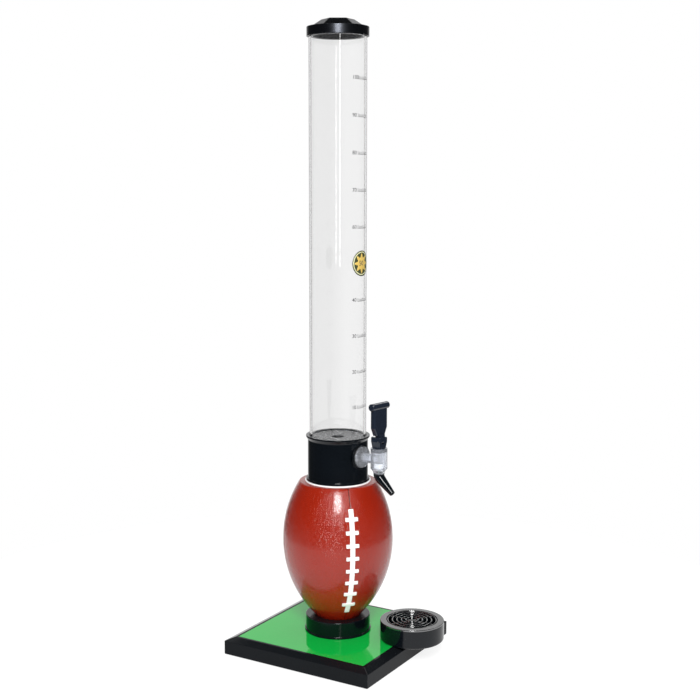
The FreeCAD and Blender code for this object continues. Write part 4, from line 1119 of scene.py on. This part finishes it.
# %% [markdown]
# ## The drip tray
# A plain round cup on two pegs, and a grille that lifts out of it: a flat rim, five round
# rings and six spokes. Each ring is its own small circle spun about the middle, so it takes
# light as a wire does, which draws the bright line across the grille.
# %% Drip cup
TRAY_RADIUS = 50.0
TRAY_INSIDE = 47.5
TRAY_TOP = 56.7
TRAY_FLOOR = PANEL_TOP + 2.5
cup_wall = soften([(0, PANEL_TOP), (TRAY_RADIUS, PANEL_TOP, 4.6), (TRAY_RADIUS, TRAY_TOP, 0.25),
                   (TRAY_INSIDE, TRAY_TOP, 0.25), (TRAY_INSIDE, TRAY_FLOOR, 2.0),
                   (0, TRAY_FLOOR)])
tray = slide(spin(cup_wall, FINE_ROUND), *TRAY_PLACE)
for spot in PEG_PLACES:
    peg = spin(rod_outline(3.0, PANEL_TOP - 6.0, PANEL_TOP + 1.0, 0.5), circle(32))
    copy_into(tray, slide(peg, *spot))
piece("tray_cup", tray, black_moulded, "drip_tray", "black_moulding", "drip_cup")

# %% Grille
GRILLE_TOP = 59.2
GRILLE_OPENING = 40.0
GRILLE_FOOT = 53.7
GRILLE_INSIDE, GRILLE_OUTSIDE = 45.2, 47.2  # of the skirt that drops into the cup
WIRE = 1.15
WIRE_HEIGHT = GRILLE_TOP - WIRE - 0.2
WIRE_FIRST, WIRE_PITCH = 9.5, 7.1
SPOKE = (81.0, 1.8, 2.4)
rim = soften([(GRILLE_OPENING, TRAY_TOP), (GRILLE_INSIDE, TRAY_TOP),
              (GRILLE_INSIDE, GRILLE_FOOT, 0.3), (GRILLE_OUTSIDE, GRILLE_FOOT, 0.3),
              (GRILLE_OUTSIDE, TRAY_TOP), (TRAY_RADIUS, TRAY_TOP, 0.25),
              (TRAY_RADIUS, GRILLE_TOP, 0.8), (GRILLE_OPENING, GRILLE_TOP, 0.8)])
grille = spin(rim, FINE_ROUND)
for k in range(5):
    middle = WIRE_FIRST + WIRE_PITCH * k
    wire = [Vector((middle + WIRE * p.x, WIRE_HEIGHT + WIRE * p.y)) for p in circle(14)]
    copy_into(grille, spin(wire, circle(128)))
for degrees in (90, 150, 210):
    spoke = slide(sliced_block(SPOKE, (0, 0, 0), 0.35), 0, 0, WIRE_HEIGHT - SPOKE[2] / 2)
    copy_into(grille, shift(spoke, Matrix.Rotation(math.radians(degrees), 4, "Z")))
piece("grille_rings", slide(grille, *TRAY_PLACE), grille_black, "grille", "grille_black",
      "drip_grille")

# %% [markdown]
# ## Pieces that keep the frame's shape
# Nuts, seals, the valve's insides and other small or hidden pieces are exact already. They
# only need their finishes.
# %% Finishes for the frame's own pieces
KEPT = {
    foam_black: ["non_slip_pad"],
    green_sheet: ["turf_panel"],
    zinc_plate: ["cup_screws", "tie_rod", "tie_nuts", "tie_washers"],
    stainless: ["lever_pin", "valve_stem"],
    seal_rubber: ["tie_seal", "tube_o_ring", "lid_o_ring", "tap_gasket", "shank_washer"],
    white_silicone: ["seat_cup"],
    clear_tap: ["tap_body"],
    black_moulded: ["lid_plug", "shank_nut"],
    black_handle: ["bonnet", "lever_handle"],
}
for finish, names in KEPT.items():
    for name in names:
        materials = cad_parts[name].data.materials
        materials.clear()
        materials.append(finish)
    print(finish.name, "on", ", ".join(names))

# %% [markdown]
# ## Floor, backdrop and light
# A white table top with soft shadows, under a plain world. The camera, reflections and
# clear plastic all see the white backdrop, but nothing is lit by it beyond a plain level.
# Gloss finds that backdrop only behind the tower. The rest of the room is dim for it, as a
# studio is, which keeps the blacks black.
# %% Table top
FLOOR_RADIUS = 0.80
FLOOR_GLOW = 0.84
WHITE = rgba(1, 1, 1)


def seen_directly(tree):
    """1 for rays from the camera, from a reflection or through clear plastic."""
    path = add(tree, "ShaderNodeLightPath").outputs
    glossy = calc(tree, "ADD", path["Is Camera Ray"], path["Is Glossy Ray"], clamp=True)
    return calc(tree, "ADD", glossy, path["Is Transmission Ray"], clamp=True)


floor_paint, tree, shader = start_finish("pale table top")
speckle = blend_colours(tree, noise(tree, 0.01), rgba(0.80, 0.80, 0.80),
                        rgba(0.82, 0.82, 0.82))
feed(shader, {"Base Color": speckle, "Roughness": 0.9, "Specular IOR Level": 0.0})
catcher = add(tree, "ShaderNodeBsdfDiffuse", {"Color": rgba(0.24, 0.24, 0.24)})
glow = add(tree, "ShaderNodeEmission", {"Color": WHITE, "Strength": FLOOR_GLOW})
shown = add(tree, "ShaderNodeAddShader", {0: catcher.outputs[0], 1: glow.outputs[0]})
floor_mix = mix_shaders(tree, seen_directly(tree), shader, shown)
feed(tree.nodes["Material Output"], {"Surface": floor_mix.outputs[0]})
table_top = bmesh.new()
bmesh.ops.create_circle(table_top, cap_ends=True, radius=FLOOR_RADIUS, segments=128)
table = put("table_top", bpy.data.meshes.new("table_top"))
table_top.to_mesh(table.data)
table_top.free()
table.data.materials.append(floor_paint)
print("table top", 2 * FLOOR_RADIUS, "m across")

# %% World
ROOM_LEVEL = 0.56  # what lights the object
DIM_ROOM = 0.045  # what glossy surfaces see, save for the backdrop
TOWARDS_BACK = (0.853, 0.522, 0.0)
BACKDROP_FROM, BACKDROP_TO = 0.79, 0.95
TOWARDS_RIGHT = (0.522, -0.853, 0.0)
LEFT_LEVEL = 0.92  # what clear plastic sees to its left, where its right sees white
scene.world = bpy.data.worlds.new("studio")
scene.world.use_nodes = True
tree = scene.world.node_tree
tree.nodes.clear()


def backdrop(strength):
    return add(tree, "ShaderNodeBackground", {"Color": WHITE, "Strength": strength})


direction = add(tree, "ShaderNodeTexCoord").outputs["Generated"]
path = add(tree, "ShaderNodeLightPath").outputs
mirrored = remap(tree, dot(tree, direction, TOWARDS_BACK), BACKDROP_FROM, BACKDROP_TO,
                 DIM_ROOM)
through = remap(tree, dot(tree, direction, TOWARDS_RIGHT), -0.02, 0.02, LEFT_LEVEL)
seen = mix_shaders(tree, path["Is Glossy Ray"], backdrop(ROOM_LEVEL), backdrop(mirrored))
seen = mix_shaders(tree, path["Is Transmission Ray"], seen, backdrop(through))
seen = mix_shaders(tree, path["Is Camera Ray"], seen, backdrop(1.0))
add(tree, "ShaderNodeOutputWorld", {"Surface": seen.outputs[0]})
print("room level", ROOM_LEVEL)

# %% Lamps: a soft box above the camera, a narrow one beside it, and two rims from behind
LOOK_AT = Vector((0, 0, 0.20))


def lamp(name, turn, height, distance, size, power):
    """Area lamp at a turn in degrees from the front, at a height, aimed at the ball."""
    data = bpy.data.lights.new(name, "AREA")
    data.shape = "RECTANGLE"
    data.size, data.size_y = size
    data.energy = power
    made = put(name, data)
    heading = math.radians(FRONT_TURN + turn)
    made.location = (distance * math.cos(heading), distance * math.sin(heading), height)
    made.rotation_euler = (LOOK_AT - made.location).to_track_quat("-Z", "Y").to_euler()
    print(name, "at", [round(v, 2) for v in made.location])


lamp("soft_box", 0, 1.62, 2.10, (0.70, 0.86), 65.0)
lamp("slit_box", 8, 1.05, 2.10, (0.10, 1.30), 2.8)
lamp("right_rim", 147, 2.30, 2.20, (0.90, 0.60), 7.5)
lamp("left_rim", -147, 2.30, 2.20, (0.90, 0.60), 3.5)
